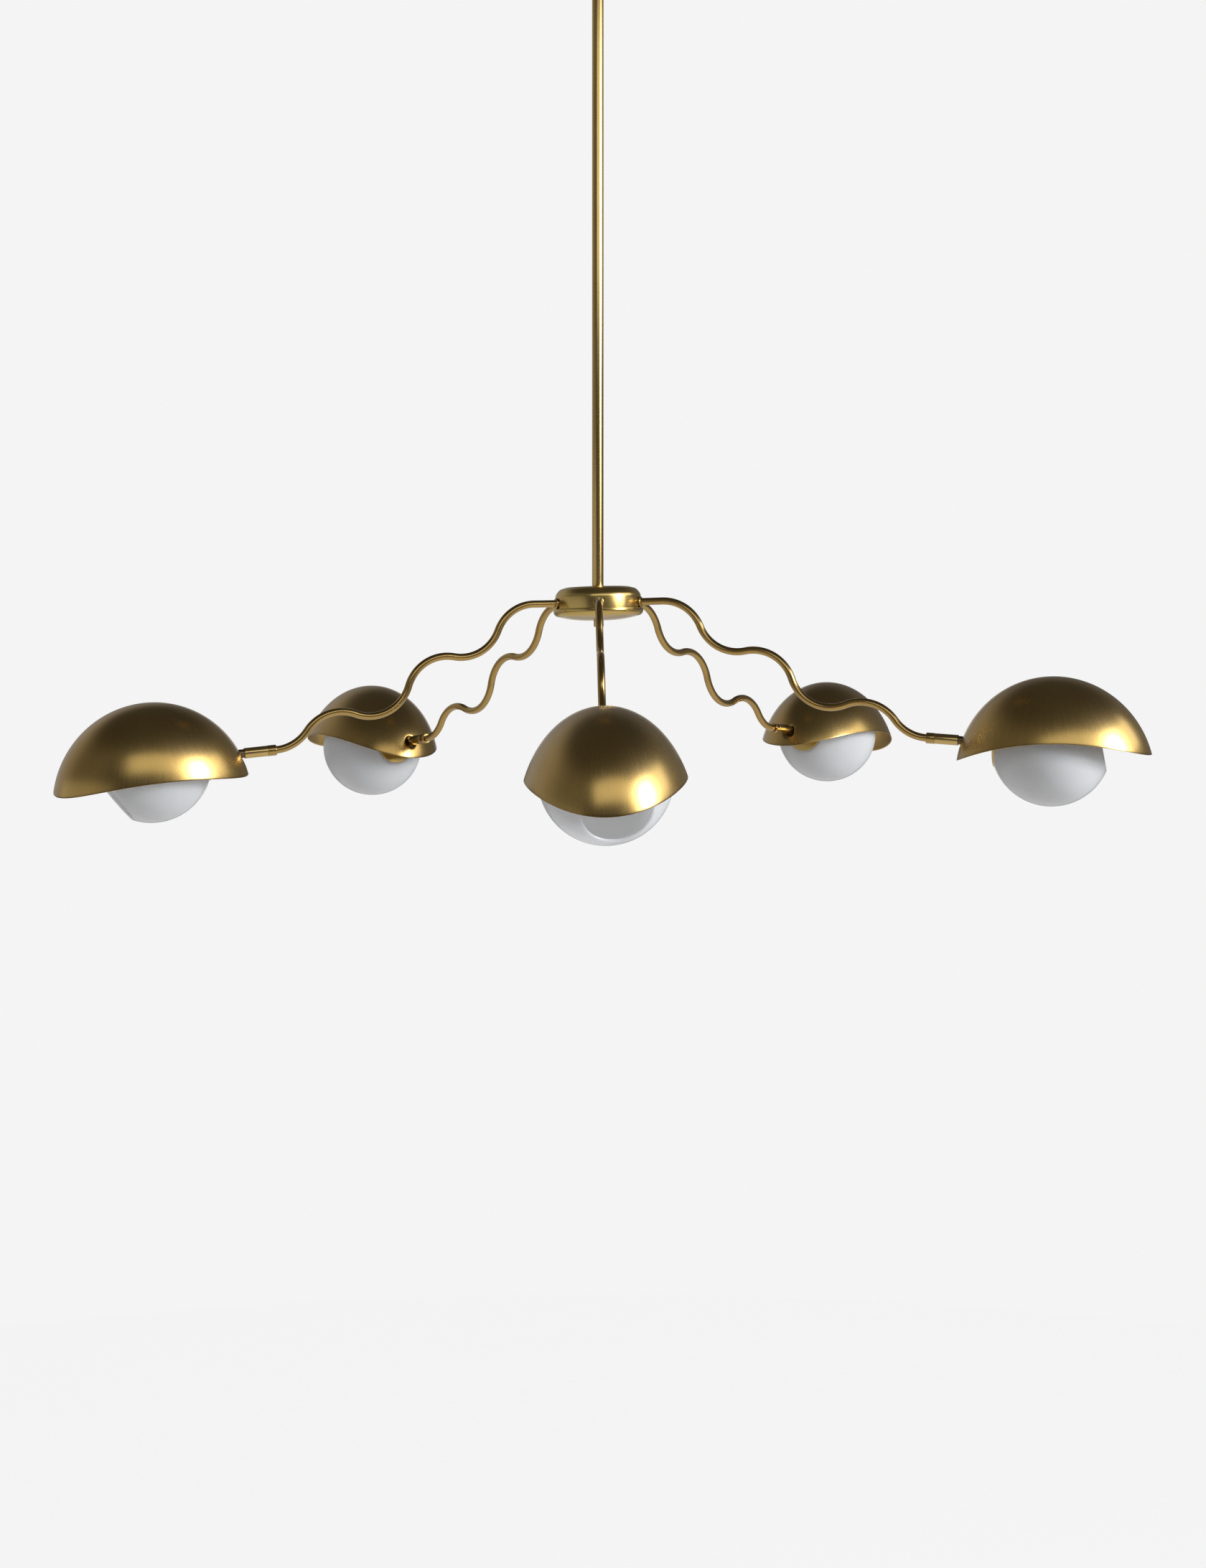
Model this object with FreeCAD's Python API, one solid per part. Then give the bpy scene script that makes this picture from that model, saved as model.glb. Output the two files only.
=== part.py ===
import FreeCAD, Part
import math
import os

from FreeCAD import Placement, Rotation, Vector

# Five-arm brass chandelier with domed shades over opal glass globes.
# Millimetres, +Z up. The origin is the centre of the ceiling plate's upper face, so the light
# hangs below z = 0. The front arm points along -Y and the arms are counted anticlockwise.

# Fits shared by all pieces
THREAD_GAP = 0.1        # between a thread and its hole, on the radius
RUNNING_GAP = 0.05      # between a turning piece and its journal, on the radius
FACE_GAP = 0.3          # between faces that move past each other
TOUCH_GAP = 0.02        # between a flat face and a round wall that it is pressed on

# Rod
ROD_RADIUS = 6.35
ROD_WALL = 1.3
ROD_LENGTH = 682.0
ROD_FOOT_ROUND = 1.0
ROD_FOOT_THREAD = 14.0

# Ceiling plate and its slots, for a box with screws 3.5 inches apart
SLOT_SPACING = 88.9
SLOT_LENGTH = 10.0
SLOT_WIDTH = 4.6
PLATE_END = 2.55        # metal beyond each slot
PLATE_WIDTH = 22.0
PLATE_THICKNESS = 2.5

# Canopy
CANOPY_RADIUS = 63.5
CANOPY_DEPTH = 26.0
CANOPY_WALL = 1.2
CANOPY_CORNER = 11.0

# Threaded tube that carries the light from the plate, its nuts and its head
NIPPLE_FIT = 0.2        # from the rod's bore to the thread, on the radius
NIPPLE_WALL = 1.45
NUT_WALL = 2.6          # from the thread to a nut's flats
NUT_THICKNESS = 5.0
COLLAR_RADIUS = 11.0
COLLAR_WAIST = 1.5
COLLAR_HEIGHT = 9.0
NIPPLE_FLANGE = 2.15    # how far the head stands out
NIPPLE_HEAD_HEIGHT = 2.5

# Knuckle under the canopy
YOKE_ROOM = 0.9         # round the nipple's head
YOKE_WALL = 2.6
YOKE_FLOOR = 3.5
CAP_HEIGHT = 4.0
EAR_THICKNESS = 3.6
EAR_WIDTH = 15.0
EYE_THICKNESS = 7.0
EYE_RADIUS = 6.5
PIN_RADIUS = 2.2
PIN_FIT = 0.02
PIN_HEAD_RADIUS = 3.6
PIN_HEAD_HEIGHT = 1.4
KNUCKLE_ROOM = 1.2      # between the eye and the yoke's floor
EYE_NECK = 16.0         # from the pin to the rod's top end
EYE_BASE = 5.0
EYE_SPIGOT = 14.0
LEAD_WALL = 0.4         # metal on each side of a lead's hole beside the tongue

# Hub: a cup over a shallow pan. The light leans a little on its rod, as the real one does.
HUB_LEAN = 1.4          # degrees, right side up
CUP_RADIUS = 47.3
CUP_TOP = 18.0          # above the arms' plane
CUP_CORNER = 9.5
HUB_WALL = 1.5
PAN_OVERHANG = 2.5
PAN_LIP = 3.0
PAN_DEPTH = 13.4
PAN_REGISTER = 1.0      # how deep the cup's edge sits in the pan's lip
PAN_SHOULDER_IN = 6.5   # from the lip's outside to where the shallow floor begins
PAN_SHOULDER_RISE = 4.4
PAN_BEND_BULGE = 1.65
PAN_FLOOR_BULGE = 1.1
PAN_FLAT_MARGIN = 0.9   # of the flat middle beyond the nut's corners
HUB_PLATE_MARGIN = 3.8  # inside the cup's rounded corner
HUB_PLATE_THICKNESS = 2.5
FINIAL_WALL = 0.65
FINIAL_HEIGHT = 7.0
FINIAL_THREAD = 4.5
FINIAL_EDGE = 0.8

# Arms: a tube of tangent bends that falls away from the hub in waves
ARM_RADIUS = 4.0
ARM_WALL = 1.0
ARM_STUB = 2.8          # of the tube beyond its ferrule, inside the hub
ARM_STRAIGHT = 26.7     # from the cup's wall to the first bend
ARM_BEND_RADIUS = 45.0
ARM_HEADINGS = (-68.5, 10.5, -72.5, 20.5, -55.5, -4.5)   # degrees above level, after each bend
ARM_TUCK = 7.0          # how far the tube goes into its end ring
FERRULE_WALL = 1.0
FERRULE_FLANGE = 0.9
FERRULE_HEIGHT = 2.6
FERRULE_ROUND = 0.8
FERRULE_REACH = 6.5
FERRULE_NUT_WALL = 1.4
FERRULE_NUT_HEIGHT = 3.0

# Swivel between arm and lamp head, measured along its axis from the arm's end
RING_LENGTH = 9.0
RING_STEP = 0.15        # of the ring beyond the sleeve, on the radius
SLEEVE_RADIUS = 5.6
SLEEVE_LENGTH = 25.0
CHAMBER_WALL = 1.0
CHAMBER_SHOULDER = 0.65
CHAMBER_ROOM = 6.0      # between the sleeve's bearing and the neck's plug
JOURNAL_TAIL = 1.8
JOURNAL_WALL = 1.7
CLIP_WIDTH = 0.8
CLIP_SPLIT = 1.6
GROOVE_DEPTH = 0.7

# Neck between sleeve and shade
NECK_PLUG = 6.0
NECK_LENGTH = 7.0
NECK_THREAD_WALL = 1.3

# Globe and what holds it
GLOBE_RADIUS = 62.0
GLOBE_WALL = 3.0
GLOBE_BASE_RADIUS = 28.0
MOUTH_HALF_ANGLE = 32.0
DISC_RADIUS = 25.0
DISC_THICKNESS = 2.4
SPACER_LENGTH = 31.0
HOLDER_RADIUS = 14.0
HOLDER_LENGTH = 36.0
HOLDER_BORE = 7.1       # for a 14 mm screw cap
HOLDER_FLOOR = 4.0
GLASS_GAP = 1.0         # between the lamp holder and the globe's hole
LOCK_RING_WIDTH = 6.0
LOCK_RING_HEIGHT = 4.0

# Shade: part of an ellipsoid, cut by an arched edge and dented at the neck
SHADE_END_ROOM = 41.0   # of the ellipsoid's half length beyond the globe's radius
SHADE_SIDE_ROOM = 18.5  # of its half width beyond the globe's radius
SHADE_DOWN = 42.5       # of the ellipsoid's centre below the neck's axis
SHADE_WALL = 1.0
SHADE_ROOM = 1.5        # over the globe
RIM_HEIGHT = 41.5       # of the edge's crown above the ellipsoid's centre
RIM_DROP = 20.5         # from the crown to the shade's ends
DENT_MARGIN = 0.5       # of the dent's flat floor round the neck
DENT_DEPTH = 0.85       # at the upper side of that floor
DENT_SLOPE = 40.0       # degrees from the neck's axis

# How each lamp head is set: how far its arm is bent below the plain course, the shade's pitch on
# its neck and the head's roll about the neck, then the globe's mouth below and beside the neck's
# axis, all in degrees
HEADS = {
    "front": {"sag": 0.8, "pitch": 0.0, "roll": 0.0, "mouth_down": 28.5, "mouth_side": 12.0},
    "right": {"sag": 0.45, "pitch": -6.0, "roll": 2.0, "mouth_down": -13.5, "mouth_side": 7.0},
    "back_right": {"sag": 0.2, "pitch": 0.0, "roll": -2.0, "mouth_down": 14.0, "mouth_side": 0.0},
    "back_left": {"sag": 0.6, "pitch": -8.0, "roll": 4.5, "mouth_down": 10.0, "mouth_side": 0.0},
    "left": {"sag": -0.4, "pitch": 0.5, "roll": -12.5, "mouth_down": 32.0, "mouth_side": 9.0},
}
ARM_STEP = 360.0 / len(HEADS)
FRONT = -90.0           # heading of the first arm, seen from above

ZERO = Vector(0, 0, 0)
UP = Vector(0, 0, 1)
OUT = Vector(1, 0, 0)
SIDE = Vector(0, 1, 0)
NUT_SIDES = 6

# What follows from the sizes above, from the ceiling down to the rod's foot
PLATE_LENGTH = SLOT_SPACING + SLOT_LENGTH + 2 * PLATE_END
ROD_BORE = ROD_RADIUS - ROD_WALL
NIPPLE_RADIUS = ROD_BORE - NIPPLE_FIT
NIPPLE_BORE = NIPPLE_RADIUS - NIPPLE_WALL
NIPPLE_HEAD_RADIUS = NIPPLE_RADIUS + NIPPLE_FLANGE
YOKE_BORE = NIPPLE_HEAD_RADIUS + YOKE_ROOM
YOKE_RADIUS = YOKE_BORE + YOKE_WALL
COLLAR_TOP = -CANOPY_DEPTH
COLLAR_BOTTOM = COLLAR_TOP - COLLAR_HEIGHT
CAP_TOP = COLLAR_BOTTOM - FACE_GAP
CAP_BOTTOM = CAP_TOP - CAP_HEIGHT
HEAD_TOP = CAP_BOTTOM - FACE_GAP
NIPPLE_END = HEAD_TOP - NIPPLE_HEAD_HEIGHT
YOKE_INSIDE = NIPPLE_END - FACE_GAP
YOKE_BOTTOM = YOKE_INSIDE - YOKE_FLOOR
PIN_HEIGHT = YOKE_BOTTOM - KNUCKLE_ROOM - EYE_RADIUS
ROD_TOP = PIN_HEIGHT - EYE_NECK
ROD_BOTTOM = ROD_TOP - ROD_LENGTH

# The hub's own heights, from the arms' plane
LEAN_ROOM = ROD_RADIUS * math.sin(math.radians(HUB_LEAN)) + TOUCH_GAP
ARM_PLANE = ROD_BOTTOM - LEAN_ROOM - CUP_TOP
THREAD_SLACK = ROD_FOOT_THREAD * math.sin(math.radians(HUB_LEAN)) + THREAD_GAP
FERRULE_THREAD = ARM_RADIUS + FERRULE_WALL
FERRULE_RADIUS = FERRULE_THREAD + FERRULE_FLANGE
PAN_TOP = -FERRULE_RADIUS - THREAD_GAP
PAN_SEAT = PAN_TOP - PAN_REGISTER
PAN_BOTTOM = PAN_TOP - PAN_DEPTH
PAN_INSIDE = PAN_BOTTOM + HUB_WALL
PAN_RADIUS = CUP_RADIUS + PAN_OVERHANG
PAN_FLAT = (NIPPLE_RADIUS + NUT_WALL) / math.cos(math.pi / NUT_SIDES) + PAN_FLAT_MARGIN
CUP_CEILING = CUP_TOP - HUB_WALL
HUB_PLATE_RADIUS = CUP_RADIUS - CUP_CORNER - HUB_PLATE_MARGIN
HUB_PLATE_BOTTOM = CUP_CEILING - HUB_PLATE_THICKNESS
FERRULE_SEAT = CUP_RADIUS + TOUCH_GAP
FERRULE_END = FERRULE_SEAT - FERRULE_REACH
ARM_INNER_END = FERRULE_END - ARM_STUB

# Places along the swivel's axis
SLEEVE_START = RING_LENGTH + 2 * RUNNING_GAP
SLEEVE_END = SLEEVE_START + SLEEVE_LENGTH
PLUG_START = SLEEVE_END - NECK_PLUG
CHAMBER_START = PLUG_START - CHAMBER_ROOM
CHAMBER_RADIUS = SLEEVE_RADIUS - CHAMBER_WALL
JOURNAL_RADIUS = CHAMBER_RADIUS - CHAMBER_SHOULDER - RUNNING_GAP
LEAD_BORE = JOURNAL_RADIUS - JOURNAL_WALL
CLIP_START = CHAMBER_START + FACE_GAP
CLIP_END = CLIP_START + CLIP_WIDTH
JOURNAL_END = CLIP_END + JOURNAL_TAIL
NECK_THREAD = LEAD_BORE + NECK_THREAD_WALL
NECK_SEAT = SLEEVE_END + NECK_LENGTH
DENT_FLAT = CHAMBER_RADIUS + DENT_MARGIN
SPACER_START = NECK_SEAT + SHADE_WALL
DISC_START = SPACER_START + SPACER_LENGTH
GLOBE_BASE = DISC_START + DISC_THICKNESS
GLOBE_CENTRE = GLOBE_BASE + math.sqrt(GLOBE_RADIUS ** 2 - GLOBE_BASE_RADIUS ** 2)
HOLDER_INSIDE = GLOBE_BASE + HOLDER_FLOOR
SHADE_HALF_LENGTH = GLOBE_RADIUS + SHADE_END_ROOM
SHADE_HALF_WIDTH = GLOBE_RADIUS + SHADE_SIDE_ROOM
SHADE_HALF_HEIGHT = SHADE_DOWN + GLOBE_RADIUS + SHADE_ROOM + SHADE_WALL
DENT_TOP = (SHADE_DOWN + DENT_FLAT) / SHADE_HALF_HEIGHT
SHADE_OUT = SHADE_HALF_LENGTH * math.sqrt(1 - DENT_TOP ** 2) - DENT_DEPTH
RIM_CURVE = (SHADE_HALF_LENGTH ** 2 + RIM_DROP ** 2) / (2 * RIM_DROP)


def turned(start, *steps):
    """Solid turned about the Z axis from a closed outline of (radius, height) points.

    A step is a point for a straight edge, or a pair of points for an arc through the first.
    """
    edges = []
    here = Vector(start[0], 0, start[1])
    for step in steps + (start,):
        if isinstance(step[0], tuple):
            middle = Vector(step[0][0], 0, step[0][1])
            there = Vector(step[1][0], 0, step[1][1])
            edges.append(Part.Arc(here, middle, there).toShape())
        else:
            there = Vector(step[0], 0, step[1])
            edges.append(Part.LineSegment(here, there).toShape())
        here = there
    return Part.Face(Part.Wire(edges)).revolve(ZERO, UP, 360)


def tube(outer, inner, bottom, top):
    """Upright tube between two heights."""
    return turned((inner, bottom), (outer, bottom), (outer, top), (inner, top))


def rod_along(direction, radius, start, end):
    """Round bar along a direction through the origin."""
    return Part.makeCylinder(radius, end - start, direction * start, direction)


def pipe_along(direction, outer, inner, start, end):
    return rod_along(direction, outer, start, end).cut(rod_along(direction, inner, start, end))


def hex_nut(direction, thread, wall, start, end):
    """Six-sided nut on a thread that runs along a direction through the origin."""
    step = 360 / NUT_SIDES
    to_corner = OUT * ((thread + wall) / math.cos(math.pi / NUT_SIDES))
    corners = [Rotation(UP, step * (i + 0.5)).multVec(to_corner) for i in range(NUT_SIDES)]
    blank = Part.Face(Part.makePolygon(corners + [corners[0]])).extrude(UP * (end - start))
    blank.Placement = Placement(direction * start, Rotation(UP, direction))
    return blank.cut(rod_along(direction, thread + THREAD_GAP, start, end))


def corner_point(centre, radius, angle):
    """Point on a rounded corner, for an outline in the (radius, height) plane."""
    turn = math.radians(angle)
    return (centre[0] + radius * math.cos(turn), centre[1] + radius * math.sin(turn))


def bulge_point(start, end, bulge):
    """Middle of an arc that stands out to the right of the line between two outline points."""
    across = end[0] - start[0]
    along = end[1] - start[1]
    length = math.hypot(across, along)
    return ((start[0] + end[0]) / 2 + bulge * along / length,
            (start[1] + end[1]) / 2 - bulge * across / length)


def ceiling_plate():
    plate = Part.makeBox(PLATE_LENGTH, PLATE_WIDTH, PLATE_THICKNESS,
                         Vector(-PLATE_LENGTH / 2, -PLATE_WIDTH / 2, -PLATE_THICKNESS))
    for side in (-1, 1):
        centre = side * SLOT_SPACING / 2
        straight = SLOT_LENGTH - SLOT_WIDTH
        slot = Part.makeBox(straight, SLOT_WIDTH, PLATE_THICKNESS,
                            Vector(centre - straight / 2, -SLOT_WIDTH / 2, -PLATE_THICKNESS))
        for end in (-1, 1):
            round_end = Vector(centre + end * straight / 2, 0, -PLATE_THICKNESS)
            slot = slot.fuse(Part.makeCylinder(SLOT_WIDTH / 2, PLATE_THICKNESS, round_end))
        plate = plate.cut(slot.removeSplitter())
    return plate.cut(rod_along(UP, NIPPLE_RADIUS + THREAD_GAP, -PLATE_THICKNESS, 0))


def spun_bowl(radius, height, corner, wall, hole, rim):
    """Round bowl with its flat side at a height, a rounded corner and its rim at another."""
    facing = 1 if height > rim else -1
    middle = (radius - corner, height - facing * corner)
    inner = corner - wall
    return turned((hole, height),
                  (radius - corner, height),
                  (corner_point(middle, corner, facing * 45), (radius, middle[1])),
                  (radius, rim),
                  (radius - wall, rim),
                  (radius - wall, middle[1]),
                  (corner_point(middle, inner, facing * 45), (radius - corner, height - facing * wall)),
                  (hole, height - facing * wall))


def canopy():
    return spun_bowl(CANOPY_RADIUS, -CANOPY_DEPTH, CANOPY_CORNER, CANOPY_WALL,
                     NIPPLE_RADIUS + THREAD_GAP, 0)


def canopy_nipple():
    return turned((NIPPLE_BORE, 0),
                  (NIPPLE_RADIUS, 0),
                  (NIPPLE_RADIUS, HEAD_TOP),
                  (NIPPLE_HEAD_RADIUS, HEAD_TOP),
                  (NIPPLE_HEAD_RADIUS, NIPPLE_END),
                  (NIPPLE_BORE, NIPPLE_END))


def canopy_collar():
    """Ring nut that holds the canopy up, with a waist for the fingers."""
    bore = NIPPLE_RADIUS + THREAD_GAP
    upper = (COLLAR_RADIUS, COLLAR_TOP)
    lower = (COLLAR_RADIUS, COLLAR_BOTTOM)
    return turned((bore, COLLAR_TOP),
                  upper,
                  (bulge_point(upper, lower, COLLAR_WAIST), lower),
                  (bore, COLLAR_BOTTOM))


def yoke_cap():
    return tube(YOKE_RADIUS, NIPPLE_RADIUS + RUNNING_GAP, CAP_BOTTOM, CAP_TOP)


def swivel_yoke():
    """Housing round the nipple's head, with two ears that carry the pin."""
    housing = turned((NIPPLE_BORE, YOKE_BOTTOM),
                     (YOKE_RADIUS, YOKE_BOTTOM),
                     (YOKE_RADIUS, CAP_BOTTOM),
                     (YOKE_BORE, CAP_BOTTOM),
                     (YOKE_BORE, YOKE_INSIDE),
                     (NIPPLE_BORE, YOKE_INSIDE))
    gap = EYE_THICKNESS / 2 + FACE_GAP
    for side in (-1, 1):
        start = gap if side > 0 else -gap - EAR_THICKNESS
        ear = Part.makeBox(EAR_THICKNESS, EAR_WIDTH, YOKE_BOTTOM - PIN_HEIGHT,
                           Vector(start, -EAR_WIDTH / 2, PIN_HEIGHT))
        tip = Part.makeCylinder(EAR_WIDTH / 2, EAR_THICKNESS, Vector(start, 0, PIN_HEIGHT), OUT)
        housing = housing.fuse(ear).fuse(tip)
    reach = gap + EAR_THICKNESS
    bore = Part.makeCylinder(PIN_RADIUS + PIN_FIT, 2 * reach, Vector(-reach, 0, PIN_HEIGHT), OUT)
    return housing.removeSplitter().cut(bore)


def swivel_pin():
    reach = EYE_THICKNESS / 2 + FACE_GAP + EAR_THICKNESS
    pin = Part.makeCylinder(PIN_RADIUS, 2 * reach, Vector(-reach, 0, PIN_HEIGHT), OUT)
    for start in (-reach - PIN_HEAD_HEIGHT, reach):
        head = Part.makeCylinder(PIN_HEAD_RADIUS, PIN_HEAD_HEIGHT, Vector(start, 0, PIN_HEIGHT), OUT)
        pin = pin.fuse(head)
    return pin.removeSplitter()


def swivel_eye():
    """Tongue on the pin, with a base and a spigot that fills the rod's top end."""
    half = EYE_THICKNESS / 2
    base_top = ROD_TOP + EYE_BASE
    tongue = Part.makeCylinder(EYE_RADIUS, EYE_THICKNESS, Vector(-half, 0, PIN_HEIGHT), OUT)
    shank = Part.makeBox(EYE_THICKNESS, 2 * EYE_RADIUS, PIN_HEIGHT - ROD_TOP,
                         Vector(-half, -EYE_RADIUS, ROD_TOP))
    inside_rod = rod_along(UP, ROD_RADIUS, ROD_TOP, PIN_HEIGHT)
    eye = tongue.fuse(shank.common(inside_rod))
    eye = eye.fuse(rod_along(UP, ROD_RADIUS, ROD_TOP, base_top))
    eye = eye.fuse(rod_along(UP, ROD_BORE - THREAD_GAP, ROD_TOP - EYE_SPIGOT, ROD_TOP))
    eye = eye.removeSplitter()
    eye = eye.cut(Part.makeCylinder(PIN_RADIUS + RUNNING_GAP, EYE_THICKNESS,
                                    Vector(-half, 0, PIN_HEIGHT), OUT))
    for side in (-1, 1):
        place = Vector(side * (half + ROD_RADIUS) / 2, 0, ROD_TOP - EYE_SPIGOT)
        hole_radius = (ROD_RADIUS - half) / 2 - LEAD_WALL
        eye = eye.cut(Part.makeCylinder(hole_radius, EYE_SPIGOT + EYE_BASE, place))
    return eye


def stem_rod():
    """Tube with a rounded foot that is threaded for the hub."""
    thread = NIPPLE_RADIUS + THREAD_SLACK
    step = ROD_BOTTOM + ROD_FOOT_THREAD + THREAD_GAP
    foot_edge = max(ROD_RADIUS - ROD_FOOT_ROUND, thread + TOUCH_GAP)
    round_size = ROD_RADIUS - foot_edge
    middle = (foot_edge, ROD_BOTTOM + round_size)
    return turned((thread, ROD_BOTTOM),
                  (foot_edge, ROD_BOTTOM),
                  (corner_point(middle, round_size, -45), (ROD_RADIUS, middle[1])),
                  (ROD_RADIUS, ROD_TOP),
                  (ROD_BORE, ROD_TOP),
                  (ROD_BORE, step),
                  (thread, step))


def hub_upper_cup():
    cup = spun_bowl(CUP_RADIUS, CUP_TOP, CUP_CORNER, HUB_WALL, NIPPLE_RADIUS + THREAD_SLACK, PAN_SEAT)
    for place in arm_places():
        hole = rod_along(OUT, FERRULE_THREAD + THREAD_GAP, FERRULE_END, PAN_RADIUS)
        cup = cup.cut(placed(hole, place))
    return cup


def hub_lower_pan():
    """Shallow dish whose lip has a step for the cup's edge."""
    bore = NIPPLE_RADIUS + THREAD_GAP
    step = CUP_RADIUS + THREAD_GAP
    inner_wall = CUP_RADIUS - HUB_WALL
    flat = (PAN_FLAT, PAN_BOTTOM)
    shoulder = (PAN_RADIUS - PAN_SHOULDER_IN, PAN_BOTTOM + PAN_SHOULDER_RISE)
    lip = (PAN_RADIUS, PAN_TOP - PAN_LIP)
    inner_flat = (PAN_FLAT, PAN_INSIDE)
    inner_shoulder = (shoulder[0], shoulder[1] + HUB_WALL)
    return turned((bore, PAN_BOTTOM),
                  flat,
                  (bulge_point(flat, shoulder, PAN_FLOOR_BULGE), shoulder),
                  (bulge_point(shoulder, lip, PAN_BEND_BULGE), lip),
                  (PAN_RADIUS, PAN_TOP),
                  (step, PAN_TOP),
                  (step, PAN_SEAT),
                  (inner_wall, PAN_SEAT),
                  (inner_wall, lip[1]),
                  inner_shoulder,
                  (bulge_point(inner_shoulder, inner_flat, -PAN_FLOOR_BULGE), inner_flat),
                  (bore, PAN_INSIDE))


def nipple_nut(bottom):
    return hex_nut(UP, NIPPLE_RADIUS, NUT_WALL, bottom, bottom + NUT_THICKNESS)


def hub_plate():
    return tube(HUB_PLATE_RADIUS, NIPPLE_RADIUS + THREAD_GAP, HUB_PLATE_BOTTOM, CUP_CEILING)


def hub_nipple():
    return tube(NIPPLE_RADIUS, NIPPLE_BORE, PAN_BOTTOM - FINIAL_THREAD, CUP_TOP + ROD_FOOT_THREAD)


def hub_nuts():
    """One nut under the plate that carries the cup, and one that holds the pan down."""
    return [nipple_nut(HUB_PLATE_BOTTOM - NUT_THICKNESS), nipple_nut(PAN_INSIDE)]


def finial():
    """Small plain knob that is screwed on the hub's threaded tube."""
    bore = NIPPLE_RADIUS + TOUCH_GAP
    outside = NIPPLE_RADIUS + FINIAL_WALL
    bottom = PAN_BOTTOM - FINIAL_HEIGHT
    roof = PAN_BOTTOM - FINIAL_THREAD - THREAD_GAP
    return turned((0, bottom),
                  (outside - FINIAL_EDGE, bottom),
                  (outside, bottom + FINIAL_EDGE),
                  (outside, PAN_BOTTOM),
                  (bore, PAN_BOTTOM),
                  (bore, roof),
                  (0, roof))


def arm_ferrule():
    """Flanged bush in the cup's wall, round the arm."""
    bore = ARM_RADIUS + RUNNING_GAP
    face = FERRULE_SEAT + FERRULE_HEIGHT
    corner = (FERRULE_RADIUS - FERRULE_ROUND, face - FERRULE_ROUND)
    ferrule = turned((bore, FERRULE_END),
                     (FERRULE_THREAD, FERRULE_END),
                     (FERRULE_THREAD, FERRULE_SEAT),
                     (FERRULE_RADIUS, FERRULE_SEAT),
                     (FERRULE_RADIUS, corner[1]),
                     (corner_point(corner, FERRULE_ROUND, 45), (corner[0], face)),
                     (bore, face))
    return placed(ferrule, Placement(ZERO, Rotation(UP, OUT)))


def ferrule_nut():
    """Nut against the cup's round inner wall, where its corners touch first."""
    inside = CUP_RADIUS - HUB_WALL
    half_side = (FERRULE_THREAD + FERRULE_NUT_WALL) / math.cos(math.pi / NUT_SIDES)
    face = math.sqrt(inside ** 2 - half_side ** 2) - TOUCH_GAP
    return hex_nut(OUT, FERRULE_THREAD, FERRULE_NUT_WALL, face - FERRULE_NUT_HEIGHT, face)


def arm_course(sag):
    """The arm's centre line from the hub outwards, and the place and heading of its end."""
    here = Vector(ARM_INNER_END, 0, 0)
    there = Vector(CUP_RADIUS + ARM_STRAIGHT, 0, 0)
    edges = [Part.LineSegment(here, there).toShape()]
    heading = 0.0
    for plain_heading in ARM_HEADINGS:
        next_heading = plain_heading - sag
        here = there
        side = 1 if next_heading > heading else -1
        centre = here + course_point(heading + 90, side * ARM_BEND_RADIUS)
        middle = centre + course_point((heading + next_heading) / 2 - 90, side * ARM_BEND_RADIUS)
        there = centre + course_point(next_heading - 90, side * ARM_BEND_RADIUS)
        edges.append(Part.Arc(here, middle, there).toShape())
        heading = next_heading
    return edges, there, heading


def course_point(angle, length):
    turn = math.radians(angle)
    return Vector(length * math.cos(turn), 0, length * math.sin(turn))


def arm_tube(sag):
    """Hollow tube bent along the course, with a straight end inside its end ring."""
    edges, end, heading = arm_course(sag)
    tip = end + course_point(heading, ARM_TUCK)
    path = Part.Wire(edges + [Part.LineSegment(end, tip).toShape()])
    start = Vector(ARM_INNER_END, 0, 0)
    skins = []
    for radius in (ARM_RADIUS, ARM_RADIUS - ARM_WALL):
        ring = Part.Wire([Part.makeCircle(radius, start, OUT)])
        skins.append(path.makePipeShell([ring], True, False))
    bent = skins[0].cut(skins[1])
    area = math.pi * (ARM_RADIUS ** 2 - (ARM_RADIUS - ARM_WALL) ** 2)
    print("arm tube: volume over section times length", round(bent.Volume / (area * path.Length), 4))
    return bent


def arm_end_ring():
    """Ring on the arm's end with the journal that the lamp head turns on."""
    groove = JOURNAL_RADIUS - GROOVE_DEPTH
    ring = rod_along(OUT, SLEEVE_RADIUS + RING_STEP, 0, RING_LENGTH)
    ring = ring.fuse(rod_along(OUT, JOURNAL_RADIUS, RING_LENGTH, JOURNAL_END)).removeSplitter()
    ring = ring.cut(rod_along(OUT, LEAD_BORE, 0, JOURNAL_END))
    ring = ring.cut(rod_along(OUT, ARM_RADIUS + RUNNING_GAP, 0, ARM_TUCK))
    return ring.cut(pipe_along(OUT, SLEEVE_RADIUS, groove, CLIP_START, CLIP_END))


def swivel_clip():
    """Split ring in the journal's groove, which keeps the sleeve on."""
    inner = JOURNAL_RADIUS - GROOVE_DEPTH + TOUCH_GAP
    outer = CHAMBER_RADIUS - FACE_GAP
    start = CLIP_START + TOUCH_GAP
    end = CLIP_END - TOUCH_GAP
    clip = pipe_along(OUT, outer, inner, start, end)
    return clip.cut(Part.makeBox(end - start, CLIP_SPLIT, outer, Vector(start, -CLIP_SPLIT / 2, 0)))


def swivel_sleeve():
    sleeve = rod_along(OUT, SLEEVE_RADIUS, SLEEVE_START, SLEEVE_END)
    sleeve = sleeve.cut(rod_along(OUT, JOURNAL_RADIUS + RUNNING_GAP, SLEEVE_START, CHAMBER_START))
    return sleeve.cut(rod_along(OUT, CHAMBER_RADIUS, CHAMBER_START, SLEEVE_END))


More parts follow.
